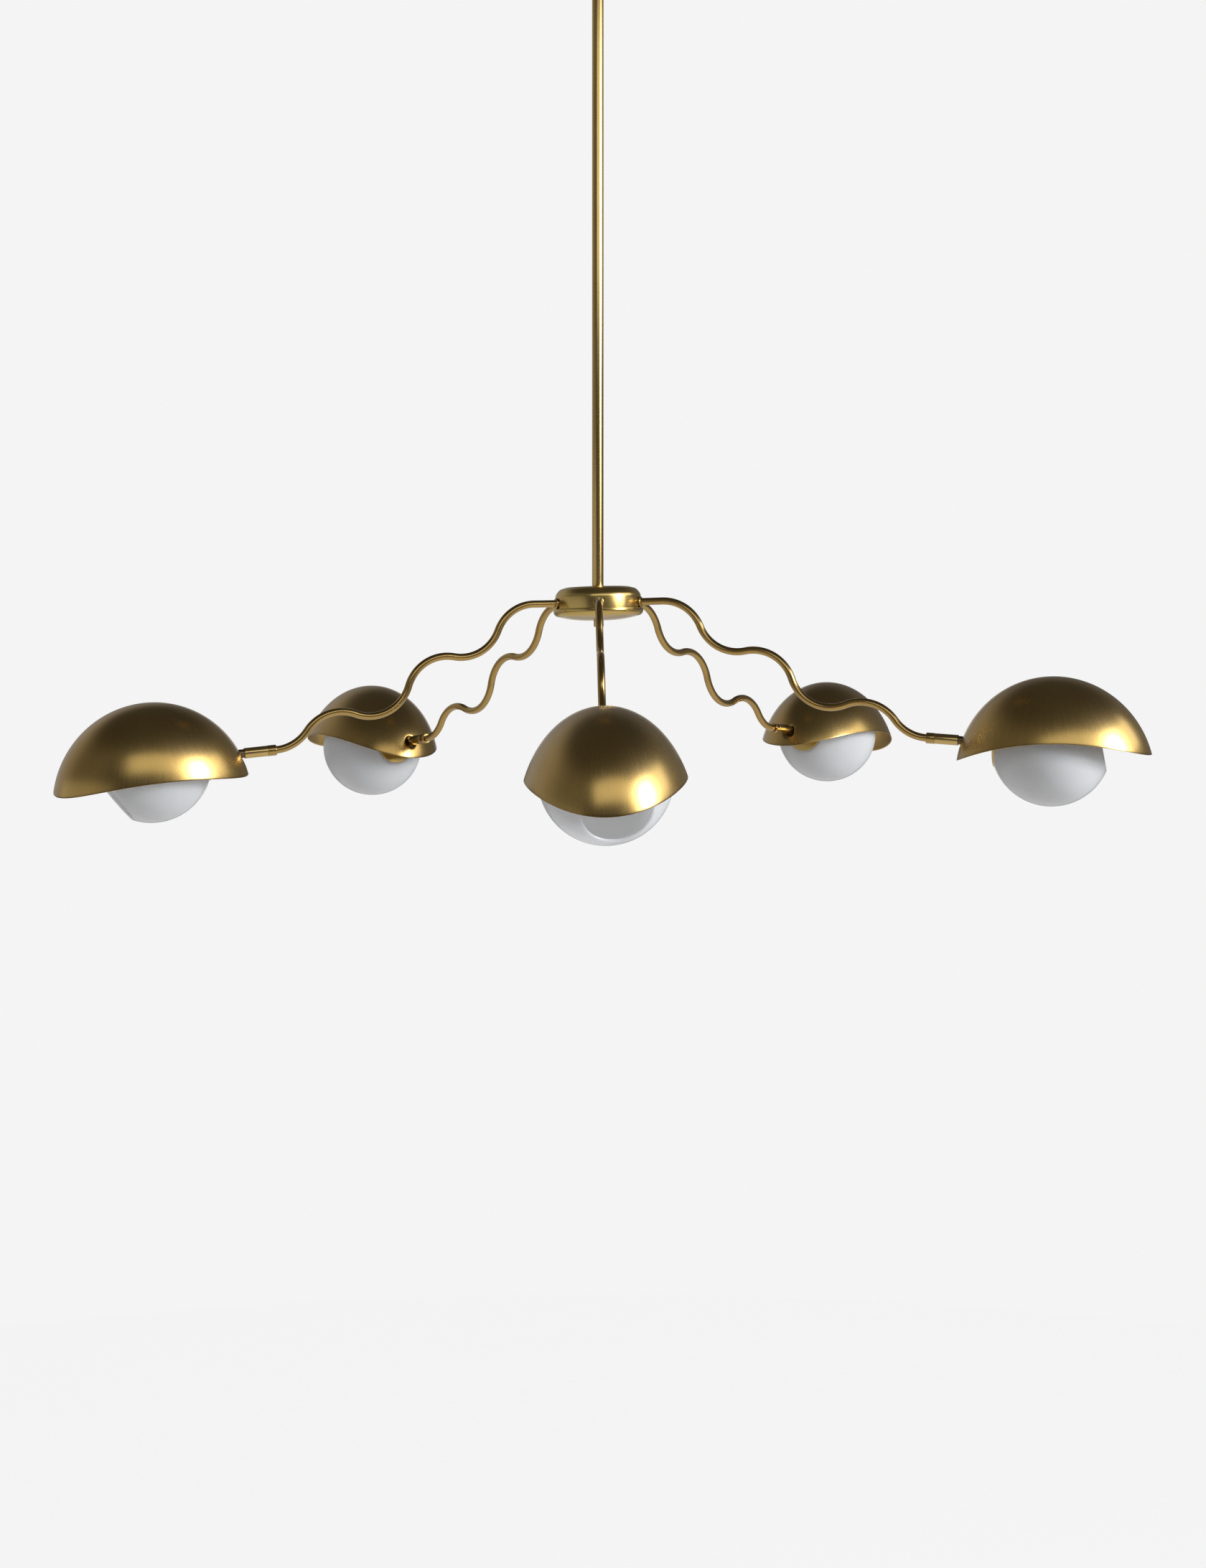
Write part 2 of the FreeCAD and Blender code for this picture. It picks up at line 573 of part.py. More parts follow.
def neck_bush():
    """Bush that closes the sleeve, with a long thread for shade, disc and lamp holder."""
    bush = rod_along(OUT, CHAMBER_RADIUS - RUNNING_GAP, PLUG_START, NECK_SEAT)
    bush = bush.fuse(rod_along(OUT, NECK_THREAD, NECK_SEAT, HOLDER_INSIDE)).removeSplitter()
    return bush.cut(rod_along(OUT, LEAD_BORE, PLUG_START, HOLDER_INSIDE))


def ellipsoid(half_length, half_width, half_height):
    stretch = FreeCAD.Matrix()
    stretch.scale(half_length, half_width, half_height)
    return Part.makeSphere(1).transformGeometry(stretch)


def dent_tool(floor):
    """Cone that presses the shade in round the neck, with its flat tip at a place."""
    height = 2 * (SHADE_HALF_LENGTH - SHADE_OUT)
    spread = DENT_FLAT + height * math.tan(math.radians(DENT_SLOPE))
    return Part.makeCone(DENT_FLAT, spread, height, OUT * floor, -OUT)


def shade(pitch):
    """Dome over the globe, pitched about its seat on the neck."""
    place = Placement(OUT * NECK_SEAT, Rotation(SIDE, pitch))
    place = place.multiply(Placement(Vector(SHADE_OUT, 0, -SHADE_DOWN), Rotation()))
    skins = []
    for inset in (0, SHADE_WALL):
        skin = placed(ellipsoid(SHADE_HALF_LENGTH - inset, SHADE_HALF_WIDTH - inset,
                                SHADE_HALF_HEIGHT - inset), place)
        skins.append(skin.cut(dent_tool(NECK_SEAT + inset)))
    reach = SHADE_HALF_WIDTH + SHADE_WALL
    below = Part.makeCylinder(RIM_CURVE, 2 * reach, Vector(0, -reach, RIM_HEIGHT - RIM_CURVE), SIDE)
    dome = skins[0].cut(skins[1]).cut(placed(below, place))
    return largest(dome.cut(rod_along(OUT, NECK_THREAD + THREAD_GAP, 0, DISC_START)))


def largest(shape):
    return max(shape.Solids, key=lambda solid: solid.Volume)


def globe_disc():
    """Disc behind the globe on the tube that holds it off the shade."""
    disc = rod_along(OUT, DISC_RADIUS, DISC_START, GLOBE_BASE)
    disc = disc.fuse(rod_along(OUT, DENT_FLAT, SPACER_START, DISC_START)).removeSplitter()
    return disc.cut(rod_along(OUT, NECK_THREAD + THREAD_GAP, SPACER_START, GLOBE_BASE))


def lamp_holder():
    """Cup for the lamp's screw cap, with a thread outside for the lock ring."""
    end = GLOBE_BASE + HOLDER_LENGTH
    holder = rod_along(OUT, HOLDER_RADIUS, GLOBE_BASE, end)
    holder = holder.cut(rod_along(OUT, HOLDER_BORE, HOLDER_INSIDE, end))
    return holder.cut(rod_along(OUT, NECK_THREAD + THREAD_GAP, GLOBE_BASE, HOLDER_INSIDE))


def lock_ring():
    """Ring nut on the lamp holder that presses the globe on its disc."""
    start = GLOBE_BASE + GLOBE_WALL
    return pipe_along(OUT, HOLDER_RADIUS + LOCK_RING_WIDTH, HOLDER_RADIUS + THREAD_GAP, start,
                      start + LOCK_RING_HEIGHT)


def globe(mouth_down, mouth_side):
    """Opal ball with a flat base round its hole and an open mouth that faces outwards."""
    skins = []
    for inset in (0, GLOBE_WALL):
        ball = Part.makeSphere(GLOBE_RADIUS - inset, OUT * GLOBE_CENTRE)
        back = GLOBE_CENTRE - GLOBE_RADIUS
        skins.append(ball.cut(rod_along(OUT, GLOBE_RADIUS, back, GLOBE_BASE + inset)))
    glass = skins[0].cut(skins[1])
    glass = glass.cut(rod_along(OUT, HOLDER_RADIUS + GLASS_GAP, GLOBE_BASE, GLOBE_CENTRE))
    facing = Rotation(UP, mouth_side).multiply(Rotation(SIDE, mouth_down)).multVec(OUT)
    reach = 2 * GLOBE_RADIUS
    mouth = Part.makeCone(0, reach * math.tan(math.radians(MOUTH_HALF_ANGLE)), reach,
                          OUT * GLOBE_CENTRE, facing)
    return largest(glass.cut(mouth))


def placed(shape, placement):
    moved = shape.copy()
    moved.Placement = placement.multiply(moved.Placement)
    return moved


def arm_places():
    return [Placement(ZERO, Rotation(UP, FRONT + ARM_STEP * i)) for i in range(len(HEADS))]


def arm_tip(sag):
    """Frame of the arm's end, with X along the swivel's axis."""
    _, end, heading = arm_course(sag)
    return Placement(end, Rotation(SIDE, -heading))


def write(name, shapes, place=Placement()):
    """One file for a node of one or more separate solids."""
    solids = [placed(shape, place) for shape in shapes]
    for solid in solids:
        if not solid.isValid() or solid.Volume <= 0:
            raise ValueError(name + " is not a sound solid")
    joined = solids[0] if len(solids) == 1 else Part.makeCompound(solids)
    joined.exportStep("parts/" + name + ".step")


os.makedirs("parts", exist_ok=True)

write("ceiling_plate", [ceiling_plate()])
write("canopy", [canopy()])
write("canopy_nipple", [canopy_nipple()])
write("nipple_nut", [nipple_nut(-PLATE_THICKNESS - NUT_THICKNESS)])
write("canopy_collar", [canopy_collar()])
write("yoke_cap", [yoke_cap()])
write("swivel_yoke", [swivel_yoke()])
write("swivel_pin", [swivel_pin()])
write("swivel_eye", [swivel_eye()])
write("stem_rod", [stem_rod()])

# The hub and all that it carries lean together about the rod's foot
foot = Vector(0, 0, ROD_BOTTOM - LEAN_ROOM)
lean = Placement(ZERO, Rotation(SIDE, -HUB_LEAN), foot)
hub_place = lean.multiply(Placement(Vector(0, 0, ARM_PLANE), Rotation()))
write("hub_upper_cup", [hub_upper_cup()], hub_place)
write("hub_lower_pan", [hub_lower_pan()], hub_place)
write("hub_plate", [hub_plate()], hub_place)
write("hub_nipple", [hub_nipple()], hub_place)
write("hub_nuts", hub_nuts(), hub_place)
write("finial", [finial()], hub_place)
write("arm_ferrules", [placed(arm_ferrule(), place) for place in arm_places()], hub_place)
write("ferrule_nuts", [placed(ferrule_nut(), place) for place in arm_places()], hub_place)

tips = [place.multiply(arm_tip(setting["sag"])) for place, setting in zip(arm_places(), HEADS.values())]
write("arm_end_rings", [placed(arm_end_ring(), tip) for tip in tips], hub_place)
write("swivel_clips", [placed(swivel_clip(), tip) for tip in tips], hub_place)

for (name, setting), arm_place, tip in zip(HEADS.items(), arm_places(), tips):
    write("arm_tube_" + name, [arm_tube(setting["sag"])], hub_place.multiply(arm_place))
    head_place = hub_place.multiply(tip).multiply(Placement(ZERO, Rotation(OUT, setting["roll"])))
    write("swivel_sleeve_" + name, [swivel_sleeve()], head_place)
    write("neck_bush_" + name, [neck_bush()], head_place)
    write("shade_" + name, [shade(setting["pitch"])], head_place)
    write("globe_disc_" + name, [globe_disc()], head_place)
    write("lamp_holder_" + name, [lamp_holder()], head_place)
    write("lock_ring_" + name, [lock_ring()], head_place)
    write("globe_" + name, [globe(setting["mouth_down"], setting["mouth_side"])], head_place)
    centre = head_place.multVec(OUT * GLOBE_CENTRE)
    swivel = head_place.Rotation.multVec(OUT)
    print(name, "globe centre", [round(v, 2) for v in centre], "axis", [round(v, 5) for v in swivel])
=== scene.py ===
import math

import bmesh
import bpy
import numpy as np
from mathutils import Matrix, Vector


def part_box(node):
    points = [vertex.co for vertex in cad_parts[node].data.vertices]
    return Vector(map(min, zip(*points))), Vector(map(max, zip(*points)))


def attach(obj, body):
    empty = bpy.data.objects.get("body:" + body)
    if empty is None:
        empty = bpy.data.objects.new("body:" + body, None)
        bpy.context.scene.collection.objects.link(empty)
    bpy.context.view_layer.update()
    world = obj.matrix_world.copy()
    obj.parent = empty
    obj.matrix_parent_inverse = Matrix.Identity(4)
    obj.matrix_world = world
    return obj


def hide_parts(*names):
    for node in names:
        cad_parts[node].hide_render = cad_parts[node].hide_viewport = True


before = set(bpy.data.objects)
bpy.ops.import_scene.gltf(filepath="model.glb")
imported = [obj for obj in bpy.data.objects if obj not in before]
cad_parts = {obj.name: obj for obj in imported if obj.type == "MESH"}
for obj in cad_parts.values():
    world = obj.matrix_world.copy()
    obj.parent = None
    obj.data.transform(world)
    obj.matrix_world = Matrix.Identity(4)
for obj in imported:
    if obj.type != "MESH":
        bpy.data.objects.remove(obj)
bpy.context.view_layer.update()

# Five-arm chandelier: brushed brass, domed brass shades and opal glass globes.
# Sizes are in millimetres and meshes in metres, +Z up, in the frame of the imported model.
MM = 0.001

# Fits shared by all pieces, on the radius
THREAD_GAP = 0.1
RUNNING_GAP = 0.05

# Rod
ROD_RADIUS = 6.35
ROD_BORE = 5.05
ROD_FOOT_BORE = 5.3
ROD_FOOT_ROUND = 1.0

# Canopy, its threaded tube and the ring nut under it
CANOPY_RADIUS = 63.5
CANOPY_DEPTH = 26.0
CANOPY_WALL = 1.2
CANOPY_CORNER = 11.0
NIPPLE_RADIUS = 4.85
NIPPLE_HOLE = NIPPLE_RADIUS + THREAD_GAP
COLLAR_RADIUS = 11.0
COLLAR_WAIST = 1.5
COLLAR_HEIGHT = 9.0
COLLAR_RIBS = 40
COLLAR_RIB_DEPTH = 0.35
COLLAR_RIM = 2.2        # width of the ribbed rim

# Hub, measured from the arms' plane
HUB_LEAN = 1.4          # degrees, right side up
LEAN_ROOM = 0.175       # between the rod's foot and the leaning cup
HUB_WALL = 1.5
CUP_RADIUS = 47.3
CUP_TOP = 18.0
CUP_CORNER = 9.5
CUP_SHOULDER = 17.0     # the shoulder is flatter on top than at the side
CUP_DROP = 11.5
CUP_BOTTOM = -7.0
PAN_RADIUS = 49.8
PAN_TOP = -6.0
PAN_LIP = 3.0
PAN_GAP = 0.1           # between the cup's wall and the lip
PAN_BOTTOM = -19.4
PAN_SHOULDER_IN = 6.5   # from the lip's outside to where the shallow floor begins
PAN_SHOULDER_RISE = 4.4
PAN_BEND_BULGE = 1.65
PAN_FLOOR_BULGE = 1.1
PAN_FLAT = 9.5
FINIAL_RADIUS = 5.5
FINIAL_HEIGHT = 7.0

# Arms, their ferrules and end rings
ARM_RADIUS = 4.0
ARM_START = 38.02       # from the hub's axis, like the next one
ARM_STRAIGHT_END = 74.0
ARM_BEND_RADIUS = 45.0
ARM_HEADINGS = (-68.5, 10.5, -72.5, 20.5, -55.5, -4.5)   # degrees above level, after each bend
ARM_TUCK = 7.0          # how far the tube goes into its end ring
TUBE_HOLE = ARM_RADIUS + RUNNING_GAP
FERRULE_THREAD = 5.0
FERRULE_RADIUS = 5.9
FERRULE_END = 40.82     # from the hub's axis, like the next two
FERRULE_SEAT = 47.32
FERRULE_FACE = 49.92
RING_RADIUS = 5.75
RING_LENGTH = 9.0
JOURNAL_RADIUS = 3.9
JOURNAL_HOLE = JOURNAL_RADIUS + RUNNING_GAP
JOURNAL_END = 25.0
LEAD_BORE = 2.2

# Lamp heads, along the swivel's axis from the arm's end
SLEEVE_RADIUS = 5.6
SLEEVE_START = 9.1
SLEEVE_END = 34.1
CHAMBER_START = 22.1
CHAMBER_RADIUS = 4.6
PLUG_START = 28.1
NECK_RADIUS = 4.55
NECK_SEAT = 41.1
NECK_THREAD = 3.5
SPACER_START = 42.1
SPACER_RADIUS = 5.1
DISC_START = 73.1
DISC_RADIUS = 25.0
DISC_BORE = 3.6
GLOBE_BASE = 75.5
HOLDER_RADIUS = 14.0
HOLDER_BORE = 7.1
HOLDER_INSIDE = 79.5
HOLDER_END = 111.5
CAP_LEAD_IN = 2.0       # from the holder's mouth to its screw thread
CAP_PITCH = 2.82
CAP_GROOVE = 0.35
CAP_TURNS = 9
LOCK_RING_RADIUS = 20.0
LOCK_RING_BORE = HOLDER_RADIUS + THREAD_GAP
LOCK_RING_START = 78.5
LOCK_RING_END = 82.5
LOCK_RING_NOTCHES = 12
LOCK_RING_NOTCH_DEPTH = 0.9
LOCK_RING_NOTCH_FLOOR = 18.0
GLOBE_RADIUS = 62.0
GLOBE_TRIM = 0.01       # keeps the globes' skin within the box of the solids
GLOBE_WALL = 3.0
GLOBE_BASE_RADIUS = 28.0
GLOBE_HOLE = 15.0
GLOBE_HOLE_BAND = 0.5   # narrow ring of faces that keeps the hole's edge crisp
MOUTH_HALF_ANGLE = 32.0
SHADE_HALF_SIZES = (103.0, 80.5, 107.0)    # length, width and height of the ellipsoid
SHADE_DOWN = 42.5       # of the ellipsoid's centre below the neck's axis
SHADE_WALL = 1.0
RIM_HEIGHT = 41.5       # of the edge's crown above the ellipsoid's centre
RIM_DROP = 20.5         # from the crown to the shade's ends
DENT_FLAT = 5.1
DENT_DEPTH = 0.85
DENT_SLOPE = 40.0       # degrees from the neck's axis
DENT_SOFTNESS = 1.3
DENT_REACH = 30.0       # round the neck's axis
DENT_END = 20.0         # along it, beyond the neck's seat

# How each lamp head is set: how far its arm is bent below the plain course, the shade's pitch on
# its neck and the head's roll about the neck, then the globe's mouth below and beside the neck's
# axis, all in degrees. Seen from above, the arms are counted anticlockwise from the front one.
HEADS = {
    "front": {"sag": 0.8, "pitch": 0.0, "roll": 0.0, "mouth_down": 28.5, "mouth_side": 12.0},
    "right": {"sag": 0.45, "pitch": -6.0, "roll": 2.0, "mouth_down": -13.5, "mouth_side": 7.0},
    "back_right": {"sag": 0.2, "pitch": 0.0, "roll": -2.0, "mouth_down": 14.0, "mouth_side": 0.0},
    "back_left": {"sag": 0.6, "pitch": -8.0, "roll": 4.5, "mouth_down": 10.0, "mouth_side": 0.0},
    "left": {"sag": -0.4, "pitch": 0.5, "roll": -12.5, "mouth_down": 32.0, "mouth_side": 9.0},
}

ARM_STEP = 360.0 / len(HEADS)
FRONT = -90.0           # heading of the first arm, seen from above

# Camera, as the photograph was taken
PICTURE_HEIGHT = 2185
FOCAL_PIXELS = 3338.6
HORIZON_ROW = 913.7
CAMERA_DISTANCE = 2650.0
CAMERA_SIDE = 5.75
CAMERA_DROP = 58.3      # of the lens below the arms' plane
CAMERA_TURN = -0.43     # degrees about the rod
SENSOR = 36.0           # for the picture's height
CLIPPING = (0.05, 100.0)    # nearest and farthest that it sees, in metres

# Brightness of the backdrop and of the studio's sides, as the light's own surfaces see them
BACKDROP = 0.905
SIDE_LEFT = 0.2
REAR_LEFT = 0.45
SIDE_RIGHT = 0.15
SIDE_FRONT = 0.04
SIDE_BELOW = 0.3
CEILING = 0.065

# Where each side fades in, on one axis of a direction of length 1
LEFT_FADE = (0.1, -0.6)
REAR_FADE = (-0.2, 0.5)
FRONT_FADE = (-0.6, -0.95)
BELOW_FADE = (0.0, -0.2)
ABOVE_FADE = (0.5, 0.8)
MIRRORED_BACKDROP = (18.0, 7.0)     # degrees from straight behind, where metal begins to show it

# Floor, in metres from the ceiling. Its glow is a share of its plain white.
FLOOR_HEIGHT = -2.6
FLOOR_RADIUS = 4.0
FLOOR_SIDES = 64
FLOOR_GREY = 0.8
FLOOR_WHITE = 0.975
FLOOR_SHOWN = 0.9       # glow where the floor shows as background
FLOOR_GLOW = 0.55       # glow that lights the brass and glass
FLOOR_MIRRORED = 0.1    # how much of the difference between the two metal and glass show

# Panels that face the hub: degrees from the camera's side and above level, metres away, degrees wide
# and high as seen from the hub, brightness, and degrees of roll
LAMP_TONE = (0.93, 0.97, 1.03)
SOFTBOXES = {
    "key_panel": {"azimuth": 59.0, "height": 15.0, "distance": 3.2, "spread": (25.0, 30.0),
                  "level": 5.0},
    "key_core": {"azimuth": 59.0, "height": 16.0, "distance": 3.15, "spread": (11.0, 14.0),
                 "level": 42.0},
    "wide_panel": {"azimuth": 69.5, "height": 20.0, "distance": 3.0, "spread": (62.0, 20.0),
                   "level": 2.4, "roll": 8.0},
    "front_panel": {"azimuth": 13.0, "height": 24.5, "distance": 2.7, "spread": (60.0, 20.0),
                    "level": 1.35},
    "left_panel": {"azimuth": -66.0, "height": -3.0, "distance": 2.4, "spread": (72.0, 14.0),
                   "level": 0.4},
}

# Finishes. A grain is stretched by shares round a piece and along it.
MERIDIAN_GRAIN = (1.0, 0.04)
TURNED_GRAIN = (0.03, 1.0)
LENGTH_GRAIN = (1.0, 0.02)
SHADE_GRAIN_ROUND = 90.0            # mm of grain in a radian round a shade
SHADE_GRAIN_DOWN = 95.0             # and in a radian down from its crown
LACQUER_ROUGHNESS = 0.33
PAINTED_RIM_SHADE = (0.14, 0.08, 0.02)      # painted shade: a dark line for the dark reflection on a shade's rounded rim
RIM_SHADE_SHARES = (0.3, 1.0)            # of that painted shade on the last two rows of a shade's outside
MILK_DEPTH = 23.0                   # how far light spreads in the opal glass

# Fineness of the meshes
CORNER_ANGLE = 12.0     # degrees between the points of a rounded corner
COURSE_ANGLE = 3.0      # and between those of an arm's bend
SHARP_ANGLE = 38.0      # edges sharper than this aren't smoothed
EDGE_BREAK = 0.25       # usual rounding of a turned piece's corner
ROUND_STEPS = 96
SMALL_STEPS = 64
HUB_STEPS = 160
CANOPY_STEPS = 192
STEPS_PER_RIB = 6
STEPS_PER_NOTCH = 12
BULGE_STEPS = 12
SHOULDER_STEPS = 12
GROOVE_STEPS = 8
TUBE_SIDES = 32
SHADE_COLUMNS = 256
SHADE_ROWS = 104
COLUMN_CROWDING = 0.6   # how far the shade's columns shift towards its neck, in radians
HEM_STEPS = 6
GLOBE_COLUMNS = 128
GLOBE_ROWS = 72
LIP_STEPS = 10
EDGE_HALVINGS = 40
LEVEL_HALVINGS = 30


class Value:
    """A number or geometry that a node gives. Python operators on numbers add Math nodes."""

    def __init__(self, nodes, socket):
        self.nodes = nodes
        self.socket = socket

    def __add__(self, other):
        return self.nodes.math("ADD", self, other)

    __radd__ = __add__

    def __sub__(self, other):
        return self.nodes.math("SUBTRACT", self, other)

    def __rsub__(self, other):
        return self.nodes.math("SUBTRACT", other, self)

    def __mul__(self, other):
        return self.nodes.math("MULTIPLY", self, other)

    __rmul__ = __mul__


class Nodes:
    """A node tree that is written as Python expressions."""

    def __init__(self, tree):
        self.tree = tree

    def add(self, kind, settings=None, sockets=None):
        """A node of a type, with its settings first and then its sockets' values or links."""
        node = self.tree.nodes.new(kind)
        for name, value in (settings or {}).items():
            setattr(node, name, value)
        for key, value in (sockets or {}).items():
            socket = node.inputs[key]
            if isinstance(value, Value):
                self.tree.links.new(value.socket, socket)
            else:
                socket.default_value = value
        return node

    def out(self, node, key=0):
        return Value(self, node.outputs[key])

    def math(self, operation, *values):
        return self.out(self.add("ShaderNodeMath", {"operation": operation}, dict(enumerate(values))))


class Shading(Nodes):
    """The nodes of one material or of the world."""

    def __init__(self, owner):
        owner.use_nodes = True
        super().__init__(owner.node_tree)
        self.tree.nodes.clear()

    def ramp(self, value, low, high):
        """Smooth rise from 0 to 1 while the value goes from its first level to its second."""
        return self.out(self.add("ShaderNodeMapRange", {"interpolation_type": "SMOOTHSTEP"},
                                 {"Value": value, "From Min": low, "From Max": high}))

    def mix(self, share, first, second):
        """A colour between two colours."""
        blend = self.add("ShaderNodeMix", {"data_type": "RGBA"}, {0: share, 6: first, 7: second})
        return self.out(blend, 2)

    def scaled(self, vector, factors):
        return self.out(self.add("ShaderNodeVectorMath", {"operation": "MULTIPLY"},
                                 {0: vector, 1: factors}))

    def noise(self, vector, scale, detail=2.0, roughness=0.5):
        return self.out(self.add("ShaderNodeTexNoise", None, {"Vector": vector, "Scale": scale,
                                                              "Detail": detail, "Roughness": roughness}))

    def bump(self, height, distance, strength=1.0):
        return self.out(self.add("ShaderNodeBump", None,
                                 {"Height": height, "Distance": distance, "Strength": strength}))

    def place(self):
        return self.out(self.add("ShaderNodeTexCoord"), "Object")

    def grain(self):
        """Millimetres round a piece in X and Y, and along its outline in Z."""
        return self.out(self.add("ShaderNodeAttribute", {"attribute_name": "grain"}), "Vector")

    def share(self, label):
        """A mesh's own share from 0 to 1, which is 0 on a mesh that has none of that name."""
        return self.out(self.add("ShaderNodeAttribute", {"attribute_name": label}), "Fac")

    def surface(self, shader):
        self.add("ShaderNodeOutputMaterial", None, {"Surface": self.out(shader)})


def colour(red, green, blue):
    return (red, green, blue, 1.0)


def finished(name, sockets_of):
    """Material with one principled shader, whose sockets a function works out."""
    material = bpy.data.materials.new(name)
    nodes = Shading(material)
    nodes.surface(nodes.add("ShaderNodeBsdfPrincipled", None, sockets_of(nodes)))
    return material


def brushed_brass(name, tone, patina, grain, fineness, roughness, contrast, uneven, lacquer, stretch=0.0):
    """Lacquered brass, brushed along its grain and clouded with patina."""
    round_share, along_share = grain

    def sockets_of(nodes):
        lines = nodes.scaled(nodes.grain(), (round_share, round_share, along_share))
        hair = nodes.noise(lines, scale=fineness, roughness=0.6)
        streak = nodes.noise(lines, scale=fineness * 0.2)
        cloud = nodes.noise(nodes.place(), scale=11.0, detail=3.0, roughness=0.55)
        worn = nodes.ramp(cloud, 0.3, 0.7)
        line = nodes.ramp(hair * 0.6 + streak * 0.4, 0.3, 0.7)
        metal = nodes.mix(worn * 0.5 + line * contrast, colour(*patina), colour(*tone))
        # The edge share darkens the brass towards a shade's rim with a painted shade line.
        return {"Base Color": nodes.mix(nodes.share("edge") * 0.75, metal, colour(*PAINTED_RIM_SHADE)),
                "Metallic": 1.0,
                "Roughness": roughness + (line - 0.5) * uneven + (cloud - 0.5) * uneven,
                "Anisotropic": stretch,
                "Coat Weight": lacquer,
                "Coat Roughness": LACQUER_ROUGHNESS}
    return finished(name, sockets_of)


def shade_outside():
    return brushed_brass("brushed_shade_brass", tone=(0.51, 0.335, 0.10), patina=(0.39, 0.24, 0.06),
                         grain=MERIDIAN_GRAIN, fineness=2.2, roughness=0.27, contrast=0.17, uneven=0.02,
                         lacquer=0.5, stretch=0.3)


def hub_brass():
    return brushed_brass("turned_brass", tone=(0.58, 0.41, 0.135), patina=(0.48, 0.325, 0.10),
                         grain=TURNED_GRAIN, fineness=0.9, roughness=0.25, contrast=0.2, uneven=0.01,
                         lacquer=0.15)


def rod_brass():
    return brushed_brass("drawn_brass", tone=(0.60, 0.415, 0.15), patina=(0.52, 0.345, 0.12),
                         grain=LENGTH_GRAIN, fineness=0.9, roughness=0.2, contrast=0.06, uneven=0.0,
                         lacquer=0.2)


# A darker copy of the rod's drawn brass: painted shade for the darker reflections along the arms.
def shade_darkened_arm_brass():
    return brushed_brass("shade_darkened_tube_brass", tone=(0.47, 0.305, 0.095), patina=(0.40, 0.25, 0.075),
                         grain=LENGTH_GRAIN, fineness=0.9, roughness=0.2, contrast=0.06, uneven=0.0,
                         lacquer=0.2)


def neck_brass():
    return brushed_brass("dark_neck_brass", tone=(0.20, 0.145, 0.06), patina=(0.10, 0.07, 0.03),
                         grain=TURNED_GRAIN, fineness=1.2, roughness=0.38, contrast=0.4, uneven=0.05,
                         lacquer=0.3)


def shade_inside():
    """Spun brass without lacquer, with faint rings."""
    def sockets_of(nodes):
        cloud = nodes.noise(nodes.place(), scale=16.0, detail=4.0, roughness=0.6)
        rings = nodes.noise(nodes.scaled(nodes.grain(), (0.05, 0.05, 1.0)), scale=1.1)
        return {"Base Color": nodes.mix(nodes.ramp(cloud, 0.3, 0.7), colour(0.42, 0.31, 0.12),
                                        colour(0.55, 0.41, 0.16)),
                "Metallic": 1.0,
                "Roughness": 0.42 + (rings - 0.5) * 0.1,
                "Normal": nodes.bump(rings, 0.01 * MM, 0.2)}
    return finished("spun_inside_brass", sockets_of)


def opal_glass():
    """Opal glass that scatters light through its wall, with a glossy skin and a darker lip."""
    def sockets_of(nodes):
        swirl = nodes.noise(nodes.place(), scale=14.0)
        milk = nodes.mix(nodes.ramp(swirl, 0.35, 0.65), colour(0.98, 0.982, 0.984),
                         colour(0.988, 0.99, 0.992))
        return {"Base Color": nodes.mix(nodes.share("lip"), milk, colour(0.97, 0.97, 0.97)),
                "Subsurface Weight": 1.0,
                "Subsurface Radius": (1.0, 1.0, 1.0),
                "Subsurface Scale": MILK_DEPTH * MM,
                "Roughness": 0.12 + (swirl - 0.5) * 0.05,
                "IOR": 1.45,
                "Normal": nodes.bump(swirl, 0.2 * MM)}
    return finished("opal_glass", sockets_of)


def plain_metal(name, tone, roughness):
    """Metal without a grain, a little dull in patches."""
    def sockets_of(nodes):
        speck = nodes.noise(nodes.place(), scale=900.0)
        bloom = nodes.noise(nodes.place(), scale=60.0, detail=3.0)
        dull = [part * 0.7 for part in tone]
        return {"Base Color": nodes.mix(nodes.ramp(bloom, 0.35, 0.7), colour(*dull), colour(*tone)),
                "Metallic": 1.0,
                "Roughness": roughness + (speck - 0.5) * 0.15,
                "Normal": nodes.bump(speck, 0.02 * MM)}
    return finished(name, sockets_of)


def moulded_plastic():
    def sockets_of(nodes):
        pebble = nodes.noise(nodes.place(), scale=1400.0)
        patch = nodes.noise(nodes.place(), scale=40.0)
        return {"Base Color": nodes.mix(patch, colour(0.022, 0.022, 0.024), colour(0.05, 0.05, 0.052)),
                "Roughness": 0.45 + (pebble - 0.5) * 0.2,
                "Normal": nodes.bump(pebble, 0.03 * MM)}
    return finished("black_plastic", sockets_of)


def rounded(corners):
    """Closed outline of (along, radius, rounding) corners, with each corner turned to an arc."""
    points = []
    for i, (along, radius, rounding) in enumerate(corners):
        here = Vector((along, radius))
        if rounding == 0:
            points.append(here)
            continue
        back = Vector(corners[i - 1][:2]) - here
        on = Vector(corners[(i + 1) % len(corners)][:2]) - here
        half = back.angle(on) / 2
        reach = min(rounding / math.tan(half), 0.45 * min(back.length, on.length))
        middle = here + (back.normalized() + on.normalized()).normalized() * (reach / math.cos(half))
        start = here + back.normalized() * reach - middle
        end = here + on.normalized() * reach - middle
        sweep = math.pi - 2 * half
        steps = max(2, round(math.degrees(sweep) / CORNER_ANGLE))
        for step in range(steps + 1):
            share = step / steps
            points.append(middle + (start * math.sin((1 - share) * sweep)
                                    + end * math.sin(share * sweep)) / math.sin(sweep))
    return points


